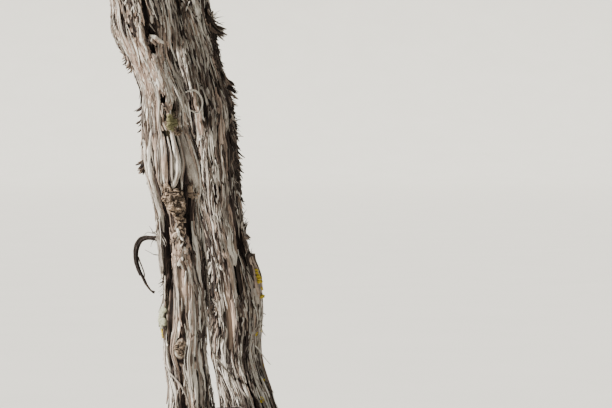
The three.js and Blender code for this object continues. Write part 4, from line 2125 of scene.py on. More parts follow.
    def _add_cuts(self, piece: Piece, twigs: Sequence[Twig], draw: Random) -> None:
        """The slanting cut at the end of a pruned shoot, with the pith in its middle.

        Args:
            piece: what they are added to.
            twigs: the pruned shoots.
            draw: random numbers.
        """
        profile = np.array(CANE_FACE)
        ends = np.array([twig.places[-1] for twig in twigs])
        ways = np.array([unit(twig.places[-1] - twig.places[-2]) for twig in twigs])
        ways = unit(speckled(draw, ways, (0.12, *ways.shape)))
        girths = np.array([[[twig.girths[-1]]] for twig in twigs])
        lines = ends[:, None] + ways[:, None] * profile[:, :1]
        tubes = tubes_along(lines, girths * profile[:, 1:], sides=12)
        piece.add(tubes, 0, 1, ring=profile[:, 1:], crack=0.0)


# Feet


@dataclass(frozen=True)
class Mound(Limb):
    """The low saddle of old wood between the two feet: half an ellipsoid on the ground.

    Its t runs from under the main stem to under the second one, and its turn from the ground on
    one side, over the top at pi, to the ground on the other.
    """

    half_length: float = 104
    half_width: float = 46
    height: float = 33
    length: float = 214
    span: float = math.radians(174)

    def _axes(self) -> tuple[Array, Array, Array]:
        """Its middle, and its long and short directions.

        Returns:
            The middle and the two directions.
        """
        a, b = np.array(MAIN_STEM.foot, float), np.array(SECOND_STEM.foot, float)
        way = unit(b - a)
        return (a + b) / 2, way, np.array([-way[1], way[0], 0])

    def _point(self, t: Array, turn: Array, sizes: Triple) -> Array:
        """sizes times (sin tilt) along + (cos tilt cos over) aside + (cos tilt sin over) up.

        Args:
            t: shares of its length.
            turn: turns round it.
            sizes: along, aside and up.

        Returns:
            The points, from the middle.
        """
        _, way, aside = self._axes()
        tilt, over = (held(t) - 0.5) * self.span, np.clip(turn, 0, FULL) / 2
        parts = (np.sin(tilt) + 0 * over, np.cos(tilt) * np.cos(over), np.cos(tilt) * np.sin(over))
        ways = (way, aside, UP)
        return sum(size * part[..., None] * one for size, part, one in zip(sizes, parts, ways))

    def girth(self, t: Array) -> Array:
        """The length of its side for one unit of turn = 2 + 19 cos(tilt)."""
        return 2 + 19 * np.cos((held(t) - 0.5) * self.span)

    def skin(self, t: Array, turn: Array, lift: Numbers) -> Array:
        """middle + the ellipsoid's point + lift along the direction out.

        Args:
            t: shares of its length.
            turn: turns round it.
            lift: how far off the skin.

        Returns:
            The points.
        """
        sizes = (self.half_length, self.half_width, self.height)
        point = self._axes()[0] + self._point(t, turn, sizes)
        return point + self.out(t, turn) * np.asarray(lift)[..., None]

    def out(self, t: Array, turn: Array) -> Array:
        """The direction square to the ellipsoid."""
        sizes = (1 / self.half_length, 1 / self.half_width, 1 / self.height)
        return unit(self._point(t, turn, sizes))


# Camera and studio


@dataclass(frozen=True)
class Camera:
    """The photograph's view: a long lens about four metres away, almost level.

    place and far, how far it sees, are in metres, and focal_px is the focal length in pixels of
    the frame.
    """

    place: Triple = (0.081, -4.116, 0.43)
    pitch_down: float = 1.27
    focal_px: float = 2744
    frame_px: float = 612
    sensor: float = 36
    far: float = 300

    def build(self) -> None:
        """Makes the camera the scene's own."""
        data = bpy.data.cameras.new("camera")
        data.sensor_width = self.sensor
        data.lens = self.focal_px / self.frame_px * self.sensor
        data.clip_end = self.far
        camera = bpy.data.objects.new("camera", data)
        camera.location = self.place
        camera.rotation_euler = (math.radians(90 - self.pitch_down), 0, 0)
        bpy.context.scene.collection.objects.link(camera)
        bpy.context.scene.camera = camera


@dataclass(frozen=True)
class Lamp:
    """A lamp far off. azimuth is from the viewer's side towards the right, in degrees."""

    name: str
    azimuth: float
    elevation: float
    softness: float
    strength: float
    colour: Colour = (1, 1, 1)

    def build(self) -> None:
        """Adds the lamp, which shines towards the vine."""
        data = bpy.data.lights.new(self.name, "SUN")
        data.energy, data.color = self.strength, self.colour
        data.angle = math.radians(self.softness)
        lamp = bpy.data.objects.new(self.name, data)
        lamp.rotation_euler = (math.radians(90 - self.elevation), 0, math.radians(self.azimuth))
        bpy.context.scene.collection.objects.link(lamp)


@dataclass(frozen=True)
class Studio:
    """A pale floor that sweeps up into a pale wall far behind, a pale sky and soft lamps."""

    floor_half: float = 60.0
    wall_at: float = 24.0
    sweep: float = 8.0
    wall_top: float = 22.0
    lamps: tuple[Lamp, ...] = (
        Lamp("key", -74, 38, 2.0, 14.5, (1.0, 0.965, 0.9)),
        Lamp("fill", 30, 25, 60, 0.06, (0.9, 0.95, 1.0)),
    )
    sky: Colour = (0.8, 0.85, 0.9)
    sky_strength: float = 0.17

    def build(self) -> None:
        """Makes the floor, the world and the lamps."""
        mesh = bpy.data.meshes.new("studio_floor")
        h, turn = self.floor_half, np.linspace(0, math.pi / 2, 25)
        back = self.wall_at + self.sweep
        y = np.concatenate([[-h], self.wall_at + self.sweep * np.sin(turn), [back]])
        z = np.concatenate([[0], self.sweep * (1 - np.cos(turn)), [self.wall_top]])
        points = [(x, *at) for at in zip(y.tolist(), z.tolist()) for x in (-h, h)]
        faces = [(2 * k, 2 * k + 1, 2 * k + 3, 2 * k + 2) for k in range(len(y) - 1)]
        mesh.from_pydata(points, [], faces)
        mesh.polygons.foreach_set("use_smooth", np.ones(len(faces), bool))
        floor = bpy.data.objects.new("studio_floor", mesh)
        bpy.context.scene.collection.objects.link(floor)
        finish = SpeckledFinish("floor_plain", (0.58, 0.57, 0.53), (0.61, 0.6, 0.56), 3)
        mesh.materials.append(finish.material())
        world = bpy.data.worlds.new("studio_world")
        bpy.context.scene.world = world
        world.use_nodes = True
        background = world.node_tree.nodes["Background"]
        background.inputs[0].default_value = (*self.sky, 1)
        background.inputs[1].default_value = self.sky_strength
        for lamp in self.lamps:
            lamp.build()


# The vine


STRIP_TONES = (
    ("dark", (0.013, 0.01, 0.009), (0.07, 0.053, 0.046)),
    ("brown", (0.062, 0.045, 0.037), (0.22, 0.168, 0.134)),
    ("rosy", (0.17, 0.115, 0.09), (0.5, 0.39, 0.315)),
    ("grey", (0.15, 0.124, 0.108), (0.47, 0.42, 0.365)),
    ("pale", (0.33, 0.29, 0.25), (0.82, 0.78, 0.705)),
)


class Finishes:
    """Every material of the vine."""

    def __init__(self) -> None:
        """Makes them all."""
        self.bark = OldBarkFinish("old_bark_weathered").material()
        self.strips, self.level_strips = (
            [StripFinish(kind + name, *ends, length).material() for name, *ends in STRIP_TONES]
            for kind, length in (("strip_", 0.08), ("level_strip_", 0.6))
        )
        self.cork = StripFinish(
            "cork_brown", (0.012, 0.008, 0.006), (0.33, 0.245, 0.178), 0.35
        ).material()
        self.lichens = [
            SpeckledFinish(name, dark, pale, 700).material()
            for name, dark, pale in (
                ("lichen_yellow", (0.17, 0.12, 0.015), (0.66, 0.5, 0.06)),
                ("lichen_grey", (0.13, 0.135, 0.085), (0.42, 0.42, 0.3)),
                ("moss_green", (0.04, 0.035, 0.016), (0.19, 0.175, 0.09)),
            )
        ]
        fine_cane = CaneFinish("cane_fine", warm=(0.135, 0.062, 0.03))
        self.canes = [CaneFinish("cane").material(), fine_cane.material()]
        bud = StripFinish("bud", (0.035, 0.015, 0.008), (0.3, 0.19, 0.12), 0.3)
        tendril = StripFinish("tendril", (0.12, 0.06, 0.03), (0.42, 0.27, 0.15), 0.08)
        self.bud, self.tendril = bud.material(), tendril.material()
        self.cut = CutFinish("cut_wood_ringed").material()


# Each kind's count, length, width, thick, lift, bow, curl and top_curl, and then the rest.
PLATES = Strips(
    230, (45, 130), (4.0, 8.5), (1.2, 2.3), (0.3, 1.6), (0, 1.2),
    (1, 5), (0, 2), curled=0.35, roll=0.14, twist=0.2, slant=0.03, wave=1.2, rings=14, ridges=4,
    tones=(0.12, 0.22, 0.16, 0.32, 0.18),
)
RIBBONS = Strips(
    1150, (24, 80), (1.4, 3.8), (0.8, 1.7), (0.6, 2.4), (0, 1.6),
    (1.5, 6), (0, 3), curled=0.35, roll=0.4, twist=0.7, wave=1.0,
    tones=(0.22, 0.22, 0.12, 0.24, 0.2),
)
LATHS = Strips(
    1650, (18, 72), (1.0, 2.9), (0.9, 1.9), (0.3, 3.0), (0, 1.6),
    (0.8, 3), (0, 2), curled=0.25, roll=0.45, twist=0.8, slant=0.04, wave=1.3,
    tones=(0.34, 0.12, 0.07, 0.18, 0.29),
)
CHIPS = Strips(
    950, (8, 26), (1.3, 3.6), (0.7, 1.5), (1.0, 3.0), (0, 0.8),
    (0.8, 3.5), (0, 2), curled=0.5, roll=0.4, twist=0.7, slant=0.1, rings=6,
    tones=(0.28, 0.18, 0.1, 0.2, 0.24),
)
FIBRES = Strips(
    1650, (12, 46), (0.5, 1.3), (0.4, 0.8), (0.8, 3.0), (0, 1.6),
    (0.5, 2.4), (0, 1.5), curled=0.2, roll=0.8, twist=1.2, slant=0.07, wave=1.2, rings=7,
    tones=(0.22, 0.14, 0.1, 0.24, 0.3),
)
TUFTS = Strips(
    200, (14, 34), (2.2, 4.4), (0.9, 1.6), (0.6, 2.4), (0, 1.0),
    (0.5, 2.5), (0, 2), curled=0.5, roll=0.3, twist=0.4, slant=0.12,
    tones=(0.08, 0.12, 0.36, 0.22, 0.22),
)
SPLAYED = Strips(
    22, (12, 26), (3.0, 7.0), (1.2, 2.2), (0.5, 3), (0, 2),
    (5, 13), (0, 5), curled=1, roll=0.5, twist=0.9, slant=0.12, ridges=4,
    tones=(0.5, 0.3, 0.05, 0.1, 0.05),
)
WHISKERS = Strips(
    14, (9, 24), (0.6, 1.6), (0.5, 0.9), (0.5, 3), (0, 2),
    (5, 12), (0, 5), curled=1, roll=0.8, twist=1.2, slant=0.22, rings=7,
    tones=(0.2, 0.1, 0.1, 0.25, 0.35),
)
BROAD_PALE = Strips(
    7, (52, 74), (5.0, 8.5), (2.6, 3.8), (1.5, 3.5), (1, 3),
    (0, 3), (0, 1), curled=0.6, roll=0.12, twist=0.2, slant=0.03, wave=1.8, rings=14, ridges=6,
    tones=(0, 0.05, 0.15, 0.35, 0.45),
)
SLABS = Strips(
    9, (46, 66), (5.5, 9.5), (4.0, 6.0), (1.5, 5), (1, 3),
    (0, 2), (3, 7), curled=0.5, roll=0.25, twist=0.2, slant=0.02, wave=1.4, rings=14, ridges=6,
    tones=(0.1, 0.3, 0.05, 0.4, 0.15),
)
TORN = Strips(
    60, (6, 15), (2.2, 5.0), (1.2, 2.4), (0.3, 2.6), (0, 1.5),
    (0.3, 2), (0, 1.5), curled=0.5, roll=0.5, slant=0.12, rings=7,
    tones=(0.22, 0.26, 0.24, 0.12, 0.16),
)
# Mostly dark: used only on the main stem's right flank, where their dark share partly paints the
# shade that falls there.
SHAGGY = Strips(
    230, (7, 17), (1.2, 3.6), (0.7, 1.5), (1.5, 4.5), (0, 1),
    (2, 6), (0, 3), curled=0.8, roll=0.5, twist=0.8, slant=0.14, rings=6,
    tones=(0.52, 0.22, 0.04, 0.12, 0.1),
)
FLECKS = Strips(
    9, (7, 14), (3.0, 6.0), (1.2, 2.2), (2.0, 5.0), (0, 1.5),
    (0.5, 3), (0, 2), curled=0.6, roll=0.6, twist=0.6, slant=0.2, rings=7,
    tones=(0.02, 0.03, 0.1, 0.25, 0.6),
)
SHARDS = Strips(
    14, (12, 28), (2.5, 5.5), (1.2, 2.2), (0.5, 3), (0, 2),
    (2, 8), (2, 6), curled=0.9, roll=0.9, twist=1.2, slant=0.4,
    tones=(0.25, 0.15, 0.15, 0.2, 0.25),
)


STEM_SIDES, STEM_RINGS, ARM_SIDES, ARM_RINGS = 264, 310, 96, 120
STRIP_SEEDS, CLUSTER_SEEDS, STRAND_SEEDS, KNOB_SEEDS, STUB_SEEDS = 106, 500, 700, 800, 900
SADDLE_STRIP_SEEDS, SADDLE_FOLD_SEEDS = 910, 920
OLD_WOOD_SEEDS, KNUCKLE_SEEDS, CANE_SEEDS = 600, 640, 50
OLD_WOOD_BARK_SEEDS, ARM_SEEDS = 60, 70
# Place from 0 to 1, turn, half width and half height of each knuckle on the old wood of an arm.
KNUCKLES = (
    (0.94, 0.4, 9, 8), (0.9, 2.4, 8, 7), (0.92, 4.6, 9, 7), (0.74, 1.5, 7, 8), (0.7, 3.8, 8, 7),
)


@dataclass(frozen=True)
class DressedLimb:
    """A limb with its bark, its loose strips, and what is torn, healed or cut on it."""

    name: str
    limb: Limb
    bark: Bark
    sides: int
    rings: int
    broad: tuple[Strips, ...]
    fine: tuple[Strips, ...]
    clusters: tuple[Cluster, ...] = ()
    knobs: tuple[Burl, ...] = ()
    stubs: tuple[Stub, ...] = ()
    strands: tuple[Strand | Fold, ...] = ()
    fade: Pair = (6, 6)

    def build(self, finishes: Finishes) -> None:
        """Makes the limb's own pieces.

        Args:
            finishes: every material.
        """
        skin = Piece(self.name + "_bark")
        add_bark(skin, self.limb, self.bark, self.sides, self.rings, self.fade)
        skin.build([finishes.bark], Slot.OLD_BARK, [self.name])
        strips, fibres = Piece(self.name + "_strips"), Piece(self.name + "_fibres")
        for piece, kinds in ((strips, self.broad), (fibres, self.fine)):
            for k, kind in enumerate(kinds):
                add_strips(piece, self.limb, self.bark, kind, self._seed(STRIP_SEEDS, k))
        for k, cluster in enumerate(self.clusters):
            seed = self._seed(CLUSTER_SEEDS, k)
            add_strips(strips, self.limb, self.bark, cluster.kind, seed, cluster)
        for k, strand in enumerate(self.strands):
            strand.add(fibres, self.limb, self._seed(STRAND_SEEDS, k))
        strips.build(finishes.strips, Slot.OLD_BARK, rounded=False)
        fibres.build(finishes.strips, Slot.OLD_BARK, rounded=False)

    def _seed(self, first: int, k: int) -> int:
        """The seed of the growth number k of a sort, whose seeds start at first."""
        return self.bark.seed * 10 + first + k

    def add_growths(self, cork: Piece, lichen: Piece, stubs: Piece, cuts: Piece) -> None:
        """Adds its knobs and its stumps to the pieces that the limbs share.

        Args:
            cork: gets the corky knobs.
            lichen: gets the crusts.
            stubs: gets the stumps.
            cuts: gets their cut faces.
        """
        for k, knobs in enumerate(self.knobs):
            knobs.add(cork if knobs.corky else lichen, self.limb, self._seed(KNOB_SEEDS, k))
        for k, stub in enumerate(self.stubs):
            stub.add(stubs, cuts, self.limb, self._seed(STUB_SEEDS, k))


DARK, BARE, PALE, CORKY, MOSSY, ROSY = (
    partial(Patch, zone)
    for zone in (Zone.DARK, Zone.BARE, Zone.PALE, Zone.CORK, Zone.LICHEN, Zone.ROSY)
)


def back_tufts(*places: Pair) -> tuple[Cluster, ...]:
    """Splayed tufts on a stem's back, at places along it and turns from its right."""
    return tuple(Cluster(along, turn, 20, 0.4, SPLAYED) for along, turn in places)


def main_stem() -> DressedLimb:
    """The right-hand stem: fine, straight strips, a bare patch, a split and a splintered edge.

    Returns:
        The dressed stem.
    """
    patches = (
        *set_round(BARE, FRONT, (172, -0.24, 46, 0.2, 1.6)),
        *set_round(
            DARK, FRONT, (230, 0.36, 34, 0.11), (284, 0.78, 19, 0.24, 1.5), (60, 0.3, 24, 0.07),
            # Painted shade: the rows at 560 and 240 sink and darken the right flank, which the key
            # lamp leaves unlit, and the front-left flank in the cleft beside the second stem.
            (560, 1.25, 130, 0.42, 0.5), (84, -1.5, 66, 0.36, 0.6), (240, -1.05, 80, 0.24, 0.6),
        ),
        *set_round(DARK, RIGHT, (120, 1.4, 50, 0.12), (470, 1.9, 60, 0.1)),
        *set_round(PALE, FRONT, (262, 0.42, 30, 0.16), (405, 0.05, 60, 0.35, 0.6)),
        *set_round(BARE, RIGHT, (330, 2.3, 60, 0.2)),
        *set_round(MOSSY, FRONT, (222, 1.15, 16, 0.14, 0.7)),
        *set_round(MOSSY, RIGHT, (380, 1.1, 30, 0.3)),
    )
    eddies = (
        Eddy(172, FRONT - 0.24, 52, 0.3, 0.7), Eddy(606, 1.9, 30, 0.5, 0.8),
        Eddy(690, FRONT + 0.5, 26, 0.45, 0.8), Eddy(300, 1.2, 30, 0.4, 0.8),
    )
    eyes = (Eye(606, 1.9, 9, 5, 5), Eye(690, FRONT + 0.5, 8, 4, 4), Eye(300, 1.2, 10, 5, 6))
    bark = Bark(11, 38, broad=26, laths=60, fibres=124, patches=patches, eddies=eddies, eyes=eyes)
    splayed = replace(SPLAYED, length=(16, 32), curl=(7, 16))
    clusters = (
        *set_round(
            Cluster, FRONT,
            (624, 1.4, 8, 0.26, replace(SPLAYED, count=26, length=(20, 38), curl=(10, 22))),
            (604, 1.5, 6, 0.2, replace(WHISKERS, curl=(9, 20)), True),
            (530, 1.42, 14, 0.25, splayed), (505, 1.5, 8, 0.25, WHISKERS),
            (470, 1.48, 10, 0.25, WHISKERS),
            (428, 1.32, 20, 0.2, replace(SPLAYED, length=(18, 36), width=(2, 5), curl=(6, 14))),
            (300, 0.95, 14, 0.25, SPLAYED), (296, 1.25, 12, 0.25, WHISKERS, True),
            (330, 0.42, 14, 0.14, BROAD_PALE), (258, 0.98, 8, 0.42, SLABS),
            (256, 0.92, 8, 0.4, replace(WHISKERS, count=8), True),
            (168, 1.32, 5, 0.1, replace(SHARDS, count=4, tones=(0, 0, 0, 0, 1))),
            (252, -0.8, 24, 0.18, SHARDS), (186, -0.9, 12, 0.12, SHARDS),
        ),
        *back_tufts((560, 2.6), (420, 2.9), (240, 2.2), (520, 0.8), (190, 0.7)),
        # Partly painted shade: the mostly dark shaggy flakes on the right flank stand for the shade
        # there as well as their own colour.
        *set_round(
            Cluster, FRONT,
            (455, 1.22, 110, 0.42, SHAGGY), (600, 1.2, 40, 0.4, replace(SHAGGY, count=90)),
        ),
    )
    knobs = crusts(
        FRONT, (236, 1.1, 10, 4, 6, 0, 7, -4), (224, 1.1, 8, 4, 5, 0, 7, -4),
        (206, 1.14, 9, 3, 5, 0, 6, -3), (150, 1.45, 5, 4, 4), (144, 0.95, 6, 3, 4),
        (99, 1.4, 5, 4, 4), (76, 0.98, 5, 3, 4), (47, 0.6, 6, 4, 4),
    ) + crusts(RIGHT, (380, 1.1, 30, 11, 9, 1), (520, 2.0, 26, 11, 7))
    # Partly painted shade: the splinters on the right edge are dark strands, standing for the shade
    # there as well as their own colour.
    splinters = (
        (463, 1.4, 13, 0.15, 1.7), (441, 1.42, 15, -0.1, 1.5), (452, 1.3, 9, 0.4, 1.2),
        (398, 1.4, 9, 0.3, 1.6), (305, 1.3, 12, 0.8, 1.5), (300, 1.22, 10, 1.2, 1.2),
    )
    torn = over(MAIN_STEM, (0.85, 128, 1), (1.05, 118, 5), (1.25, 108, 7), (1.45, 98, 12))
    lath = over(MAIN_STEM, (0.8, 196, 1), (0.85, 180, 5), (0.92, 168, 3), (0.95, 156, 1))
    return DressedLimb(
        "main_stem", MAIN_STEM, bark, STEM_SIDES, STEM_RINGS, (replace(PLATES, count=120), LATHS),
        (FIBRES, CHIPS), clusters, knobs,
        stubs=(Stub(690, FRONT + 0.5, 12, 9), Stub(735, 2.2, 16, 11), Stub(606, 1.9, 10, 8)),
        strands=(
            Strand(torn, 0.9, 0.6, Tone.PALE, 0.9), Strand(lath, 1.6, 1.0, Tone.PALE, 0.5),
            *(
                Strand(
                    spike(MAIN_STEM, FRONT + turn, along, reach, climb), girth, 0.5, Tone.DARK, 0.7
                )
                for along, turn, reach, climb, girth in splinters
            ),
        ),
    )


def second_stem() -> DressedLimb:
    """The left-hand stem: broad strips that part round a burl, an eye, scars and a cleft foot.

    Returns:
        The dressed stem.
    """
    patches = (
        *set_round(
            CORKY, FRONT, (338, 0.08, 30, 0.34), (300, 0.14, 16, 0.16), (131, -0.18, 13, 0.26, 0.7)
        ),
        *set_round(
            DARK, FRONT,
            # Partly painted shade: the rows at 264 and 316 sink the hollows beside the burl and
            # also darken them as if in shadow.
            (264, -0.82, 66, 0.25, 1.5), (322, -0.62, 16, 0.2), (316, 0.66, 38, 0.22, 1.5),
            (593, 0.42, 12, 0.13, 1.8), (609, 0.16, 7, 0.1, 1.5), (567, 0.24, 5, 0.2, 1.6),
            (500, -0.05, 5, 0.16, 1.3), (470, 0.16, 7, 0.09, 1.5), (462, 0.92, 12, 0.09, 1.4),
            (628, 0.1, 40, 0.08, 1.5), (634, -0.75, 34, 0.09, 1.4), (494, 0.12, 6, 0.22, 1.0),
            (482, 0.56, 6, 0.16, 1.0), (436, 0.62, 9, 0.26, 1.4), (160, -0.8, 44, 0.15, 1.7),
            # Painted shade: the rows at 240 and 84 sink and darken the right flank, facing the main
            # stem, which the key lamp leaves unlit.
            (240, 1.32, 80, 0.24, 0.8), (84, 1.5, 74, 0.36, 1.1), (44, -0.38, 30, 0.1, 1.4),
            (396, 0.1, 40, 0.95, 0.95),
        ),
        *set_round(DARK, RIGHT, (250, 1.0, 60, 0.13), (560, 2.2, 50, 0.13)),
        *set_round(BARE, FRONT, (226, -0.02, 26, 0.26, 1.2), (575, 1.02, 14, 0.2)),
        *set_round(BARE, RIGHT, (420, 1.6, 50, 0.22)),
        *set_round(ROSY, FRONT, (270, -0.1, 36, 0.55), (545, -0.45, 50, 0.8)),
        *set_round(PALE, FRONT, (545, -0.5, 50, 0.8)),
        *set_round(MOSSY, FRONT, (456, 0.52, 14, 0.3), (172, -1.3, 20, 0.16, 0.6)),
    )
    eddies = (
        Eddy(336, FRONT + 0.06, 44, 0.42, 0.9), Eddy(130, FRONT - 0.18, 28, 0.4, 0.9),
        Eddy(594, FRONT + 0.3, 24, 0.34, 0.8), Eddy(520, 1.2, 28, 0.5, 0.8),
        Eddy(456, FRONT + 0.52, 20, 0.3, 0.6), Eddy(48, FRONT - 0.34, 44, 0.22, 0.7),
    )
    eyes = (Eye(131, FRONT - 0.18, 11, 2.5, 2.0), Eye(520, 1.2, 10, 5, 6), Eye(300, 2.0, 9, 5, 5))
    bark = Bark(
        37, 35, broad=19, laths=42, fibres=96, patches=patches, eddies=eddies, eyes=eyes, rise=1.1
    )
    knobs = set_round(
        Burl, FRONT,
        (347, 0.04, 18, 18, 10, 5, 4.6, 3.0, 3), (362, -0.22, 6, 10, 7, 4, 4.0, 2.2, 2.5),
        (361, 1.04, 8, 14, 6, 4, 5.0, 2.0, 2.5), (340, 0.1, 11, 10, 13, 5, 5.5, 3.2, 2.5),
        (332, 0.26, 7, 7, 12, 5, 4.6, 2.8, 2.5), (326, 0.08, 6, 8, 11, 4, 4.4, 2.6, 2.5),
        (318, 0.22, 7, 6, 10, 4, 4.2, 2.6, 2.5), (311, 0.12, 5, 6, 10, 3, 3.8, 2.2, 2.5),
        (303, 0.2, 5, 5, 8, 3, 3.6, 2.0, 2.5), (297, 0.13, 6, 7, 7, 3, 2.2, 1.5),
        (287, 0.1, 4, 5, 6, 3, 2.0, 1.1), (134, -0.24, 8, 8, 5, 3.8, 2.4, 1.8),
        (127, -0.12, 7, 8, 5, 3.6, 2.2, 1.8), (137, -0.06, 5, 6, 5, 3.6, 2.0, 1.5),
        (459, 0.44, 14, 10, 7, 4, 2.8, 2.0), (449, 0.62, 9, 9, 6, 3, 2.6, 1.8),
    ) + crusts(
        FRONT, (460, 0.46, 14, 9, 6, 2, 5.5, -3), (176, -1.34, 19, 9, 12, 1, 3.4, 0.6),
        (150, -1.3, 6, 4, 4, 0, 3.0, 0.6), (214, -1.45, 8, 6, 4, 1),
    ) + crusts(RIGHT, (400, 1.2, 30, 11, 9, 2), (260, 2.4, 26, 11, 7), (60, 2.8, 24, 11, 7, 1))
    torn = replace(TORN, count=30)
    clusters = (
        *set_round(
            Cluster, FRONT,
            (300, -1.3, 20, 0.16, BROAD_PALE), (300, -0.16, 18, 0.28, TORN),
            (284, 0.36, 22, 0.24, TORN), (272, -0.1, 18, 0.34, TORN),
            (612, 0.2, 16, 0.6, torn), (603, 0.16, 9, 0.12, FLECKS),
            (584, 0.3, 5, 0.16, FLECKS), (300, -0.02, 9, 0.1, replace(FLECKS, count=5)),
            (572, 0.3, 12, 0.6, torn),
            (632, -0.2, 34, 1.00, replace(CHIPS, count=170, tones=(0.38, 0.16, 0.12, 0.14, 0.2))),
            (490, 0.2, 14, 0.9, TORN), (545, -0.5, 50, 0.9, TUFTS), (540, 0.3, 40, 0.7, TUFTS),
            (462, 0.5, 12, 0.5, TORN), (560, LEFT - FRONT, 10, 0.16, SPLAYED),
            (410, -1.4, 8, 0.16, SPLAYED),
            (306, -1.3, 8, 0.16, WHISKERS), (232, -1.35, 10, 0.16, WHISKERS),
        ),
        *back_tufts((480, 2.4), (350, 1.8), (200, 2.2), (620, 1.8)),
    )
    curl = [
        *over(SECOND_STEM, (-1.37, 290, -2)),
        (-146, -99, 291.4), (-153, -98, 291.6), (-160.8, -98, 289),
        (-166, -98, 281.3), (-168.3, -99, 271), (-167.9, -98, 258), (-164.8, -97, 246.4),
        (-159.5, -97, 234.8), (-155, -98, 225.8), (-149.9, -98, 218), (-144, -98, 212.2),
    ]
    curl_strands = tuple(
        Strand(
            np.array(curl[first:last]) + [0.9 * shift, 1.2 * side, -0.6 * shift], girth, tip, tone,
            flat=1.4, knobbly=0.2, shade=0.12,
        )
        for first, last, shift, side, girth, tip, tone in (
            (0, 12, 0, 0, 2.1, 0.6, Tone.DARK), (0, 10, 2.3, 0.7, 1.6, 1.1, Tone.DARK),
            (0, 9, -2.0, -0.7, 1.4, 1.3, Tone.DARK), (2, 11, 3.4, 0, 0.9, 0.5, Tone.DARK),
            (1, 8, 1.2, -1.7, 0.8, 0.5, Tone.DARK), (3, 9, -3.0, 0.8, 0.9, 0.8, Tone.DARK),
            (4, 10, 0.4, -1.7, 1.0, 0.9, Tone.DARK), (0, 5, -3.0, -0.4, 0.6, 0.3, Tone.BROWN),
            (5, 12, 1.0, -1.2, 0.6, 0.3, Tone.BROWN),
        )
    )
    curl_edge = [
        (-165, -99, 264), (-162, -100, 256), (-158.5, -100, 247), (-156, -99, 239),
        (-156, -98, 230),
    ]
    curl_thread = [
        *over(SECOND_STEM, (-1.37, 294, -2)),
        (-146, -97, 298.5), (-152, -95, 299), (-160, -95, 291),
    ]
    hairs = (
        ((-1.35, 296, -1), (-143, -100, 300), (-145, -101, 304), (-149, -100, 309)),
        ((-1.3, 292, -1), (-142, -102, 288), (-145, -104, 283), (-146, -104, 278)),
        ((-1.3, 266, -1), (-141, -102, 267), (-147, -103, 270), (-155, -102, 274)),
    )
    curl_knob = [(-147.5, -98, 214.5), (-145.5, -98, 213.4), (-143, -98, 211.8), (-140.8, -98, 211)]
    ring = [
        *over(SECOND_STEM, (1.25, 503, 0)), (-84, -84, 508), (-74, -80, 499), (-72, -80, 484),
        (-79, -82, 474), (-88, -84, 478),
    ]
    hook = over(SECOND_STEM, (0.66, 522, 0), (0.72, 504, 5), (0.85, 490, 6), (1.1, 476, 2))
    # Each fold's width, rise and places.
    folds = (
        (9.0, 2.2, (446, -1.26), (408, -1.34), (370, -1.3), (330, -1.34), (262, -1.28)),
        (8.6, 3.4, (456, -0.62), (423, -0.77), (393, -0.84), (366, -0.88), (340, -0.93),
         (300, -1.1)),
        (7.0, 2.6, (446, -1.00), (410, -1.06), (378, -1.08), (346, -1.12)),
        (11.0, 4.0, (450, -0.34), (423, -0.38), (393, -0.45), (362, -0.54)),
        (9.5, 3.6, (444, -0.1), (423, -0.12), (393, -0.2), (364, -0.26)),
        (6.0, 2.4, (440, 0.1), (412, 0.12), (384, 0.04), (364, 0.02)),
        (10.0, 4.2, (458, 0.28), (423, 0.35), (396, 0.32), (380, 0.22), (366, 0.08)),
        (5.0, 2.4, (452, 0.58), (423, 0.62), (400, 0.6), (382, 0.46), (362, 0.4)),
        (12.0, 5.2, (460, 0.8), (423, 0.87), (400, 0.92), (380, 1.07), (364, 1.26)),
        (8.0, 2.4, (442, 1.2), (404, 1.24), (372, 1.36), (336, 1.38)),
        (8.0, 2.2, (520, 0.9), (490, 1.00), (462, 0.96), (436, 0.98)),
        (9.0, 2.6, (536, -1.00), (500, -1.06), (470, -1.12), (440, -1.1)),
        (8.0, 2.0, (316, 0.98), (280, 0.94), (244, 0.92), (204, 0.96)),
        (10.0, 2.4, (252, 0.36), (222, 0.4), (190, 0.34), (160, 0.4), (120, 0.52)),
        (8.0, 2.0, (196, -0.46), (166, -0.48), (146, -0.56), (120, -0.54), (90, -0.46)),
        (9.0, 2.2, (170, 0.22), (140, 0.24), (112, 0.1), (80, 0.08), (40, 0.14)),
        (8.0, 2.0, (140, -1.1), (110, -1.04), (80, -0.86), (50, -0.74), (24, -0.7)),
    )
    across = [
        *over(SECOND_STEM, (1.05, 200, 0), (1.15, 160, 4)), (-56, -72, 122),
        *over(MAIN_STEM, (-0.4, 82, 4), (0.02, 53, 3), (0.2, 34, 1)),
    ]
    root = over(
        SECOND_STEM, (-1.2, 118, -1), (-0.9, 98, 2), (-0.55, 86, 3), (-0.34, 76, 3), (-0.16, 56, 3),
        (-0.1, 34, 0),
    )
    return DressedLimb(
        "second_stem", SECOND_STEM, bark, STEM_SIDES, STEM_RINGS,
        (replace(PLATES, count=210), replace(RIBBONS, count=1080)),
        (replace(FIBRES, count=1300), CHIPS), clusters, knobs,
        stubs=(Stub(672, FRONT - 0.6, 14, 10), Stub(708, 0.6, 14, 10), Stub(520, 1.2, 10, 8)),
        strands=(
            *curl_strands[:5], Strand(curl_edge, 1.1, 0.9, Tone.DARK, 1.0, 0.2, 0.2),
            Strand(curl_thread, 0.7, 0.35, Tone.DARK, 0.8, 0.2),
            Strand(ring, 1.9, 1.4, Tone.PALE, 0.9, 0.08),
            *(Fold(places, width, rise, FRONT) for width, rise, *places in folds),
            Strand(hook, 2.0, 1.2, Tone.PALE, 0.8),
            Strand(across, 2.0, 1.3, Tone.GREY, 0.9, 0.08),
            Strand(root, 1.5, 1.1, Tone.GREY, 0.9), *curl_strands[5:],
            *(
                Strand([*over(SECOND_STEM, foot), *rest], 0.8, 0.3, Tone.DARK, 0.9, 0.2, 0.3)
                for foot, *rest in hairs
            ),
            Strand(curl_knob, 1.2, 2.4, Tone.DARK, 0.9, 0.2, 0.3),
        ),
    )


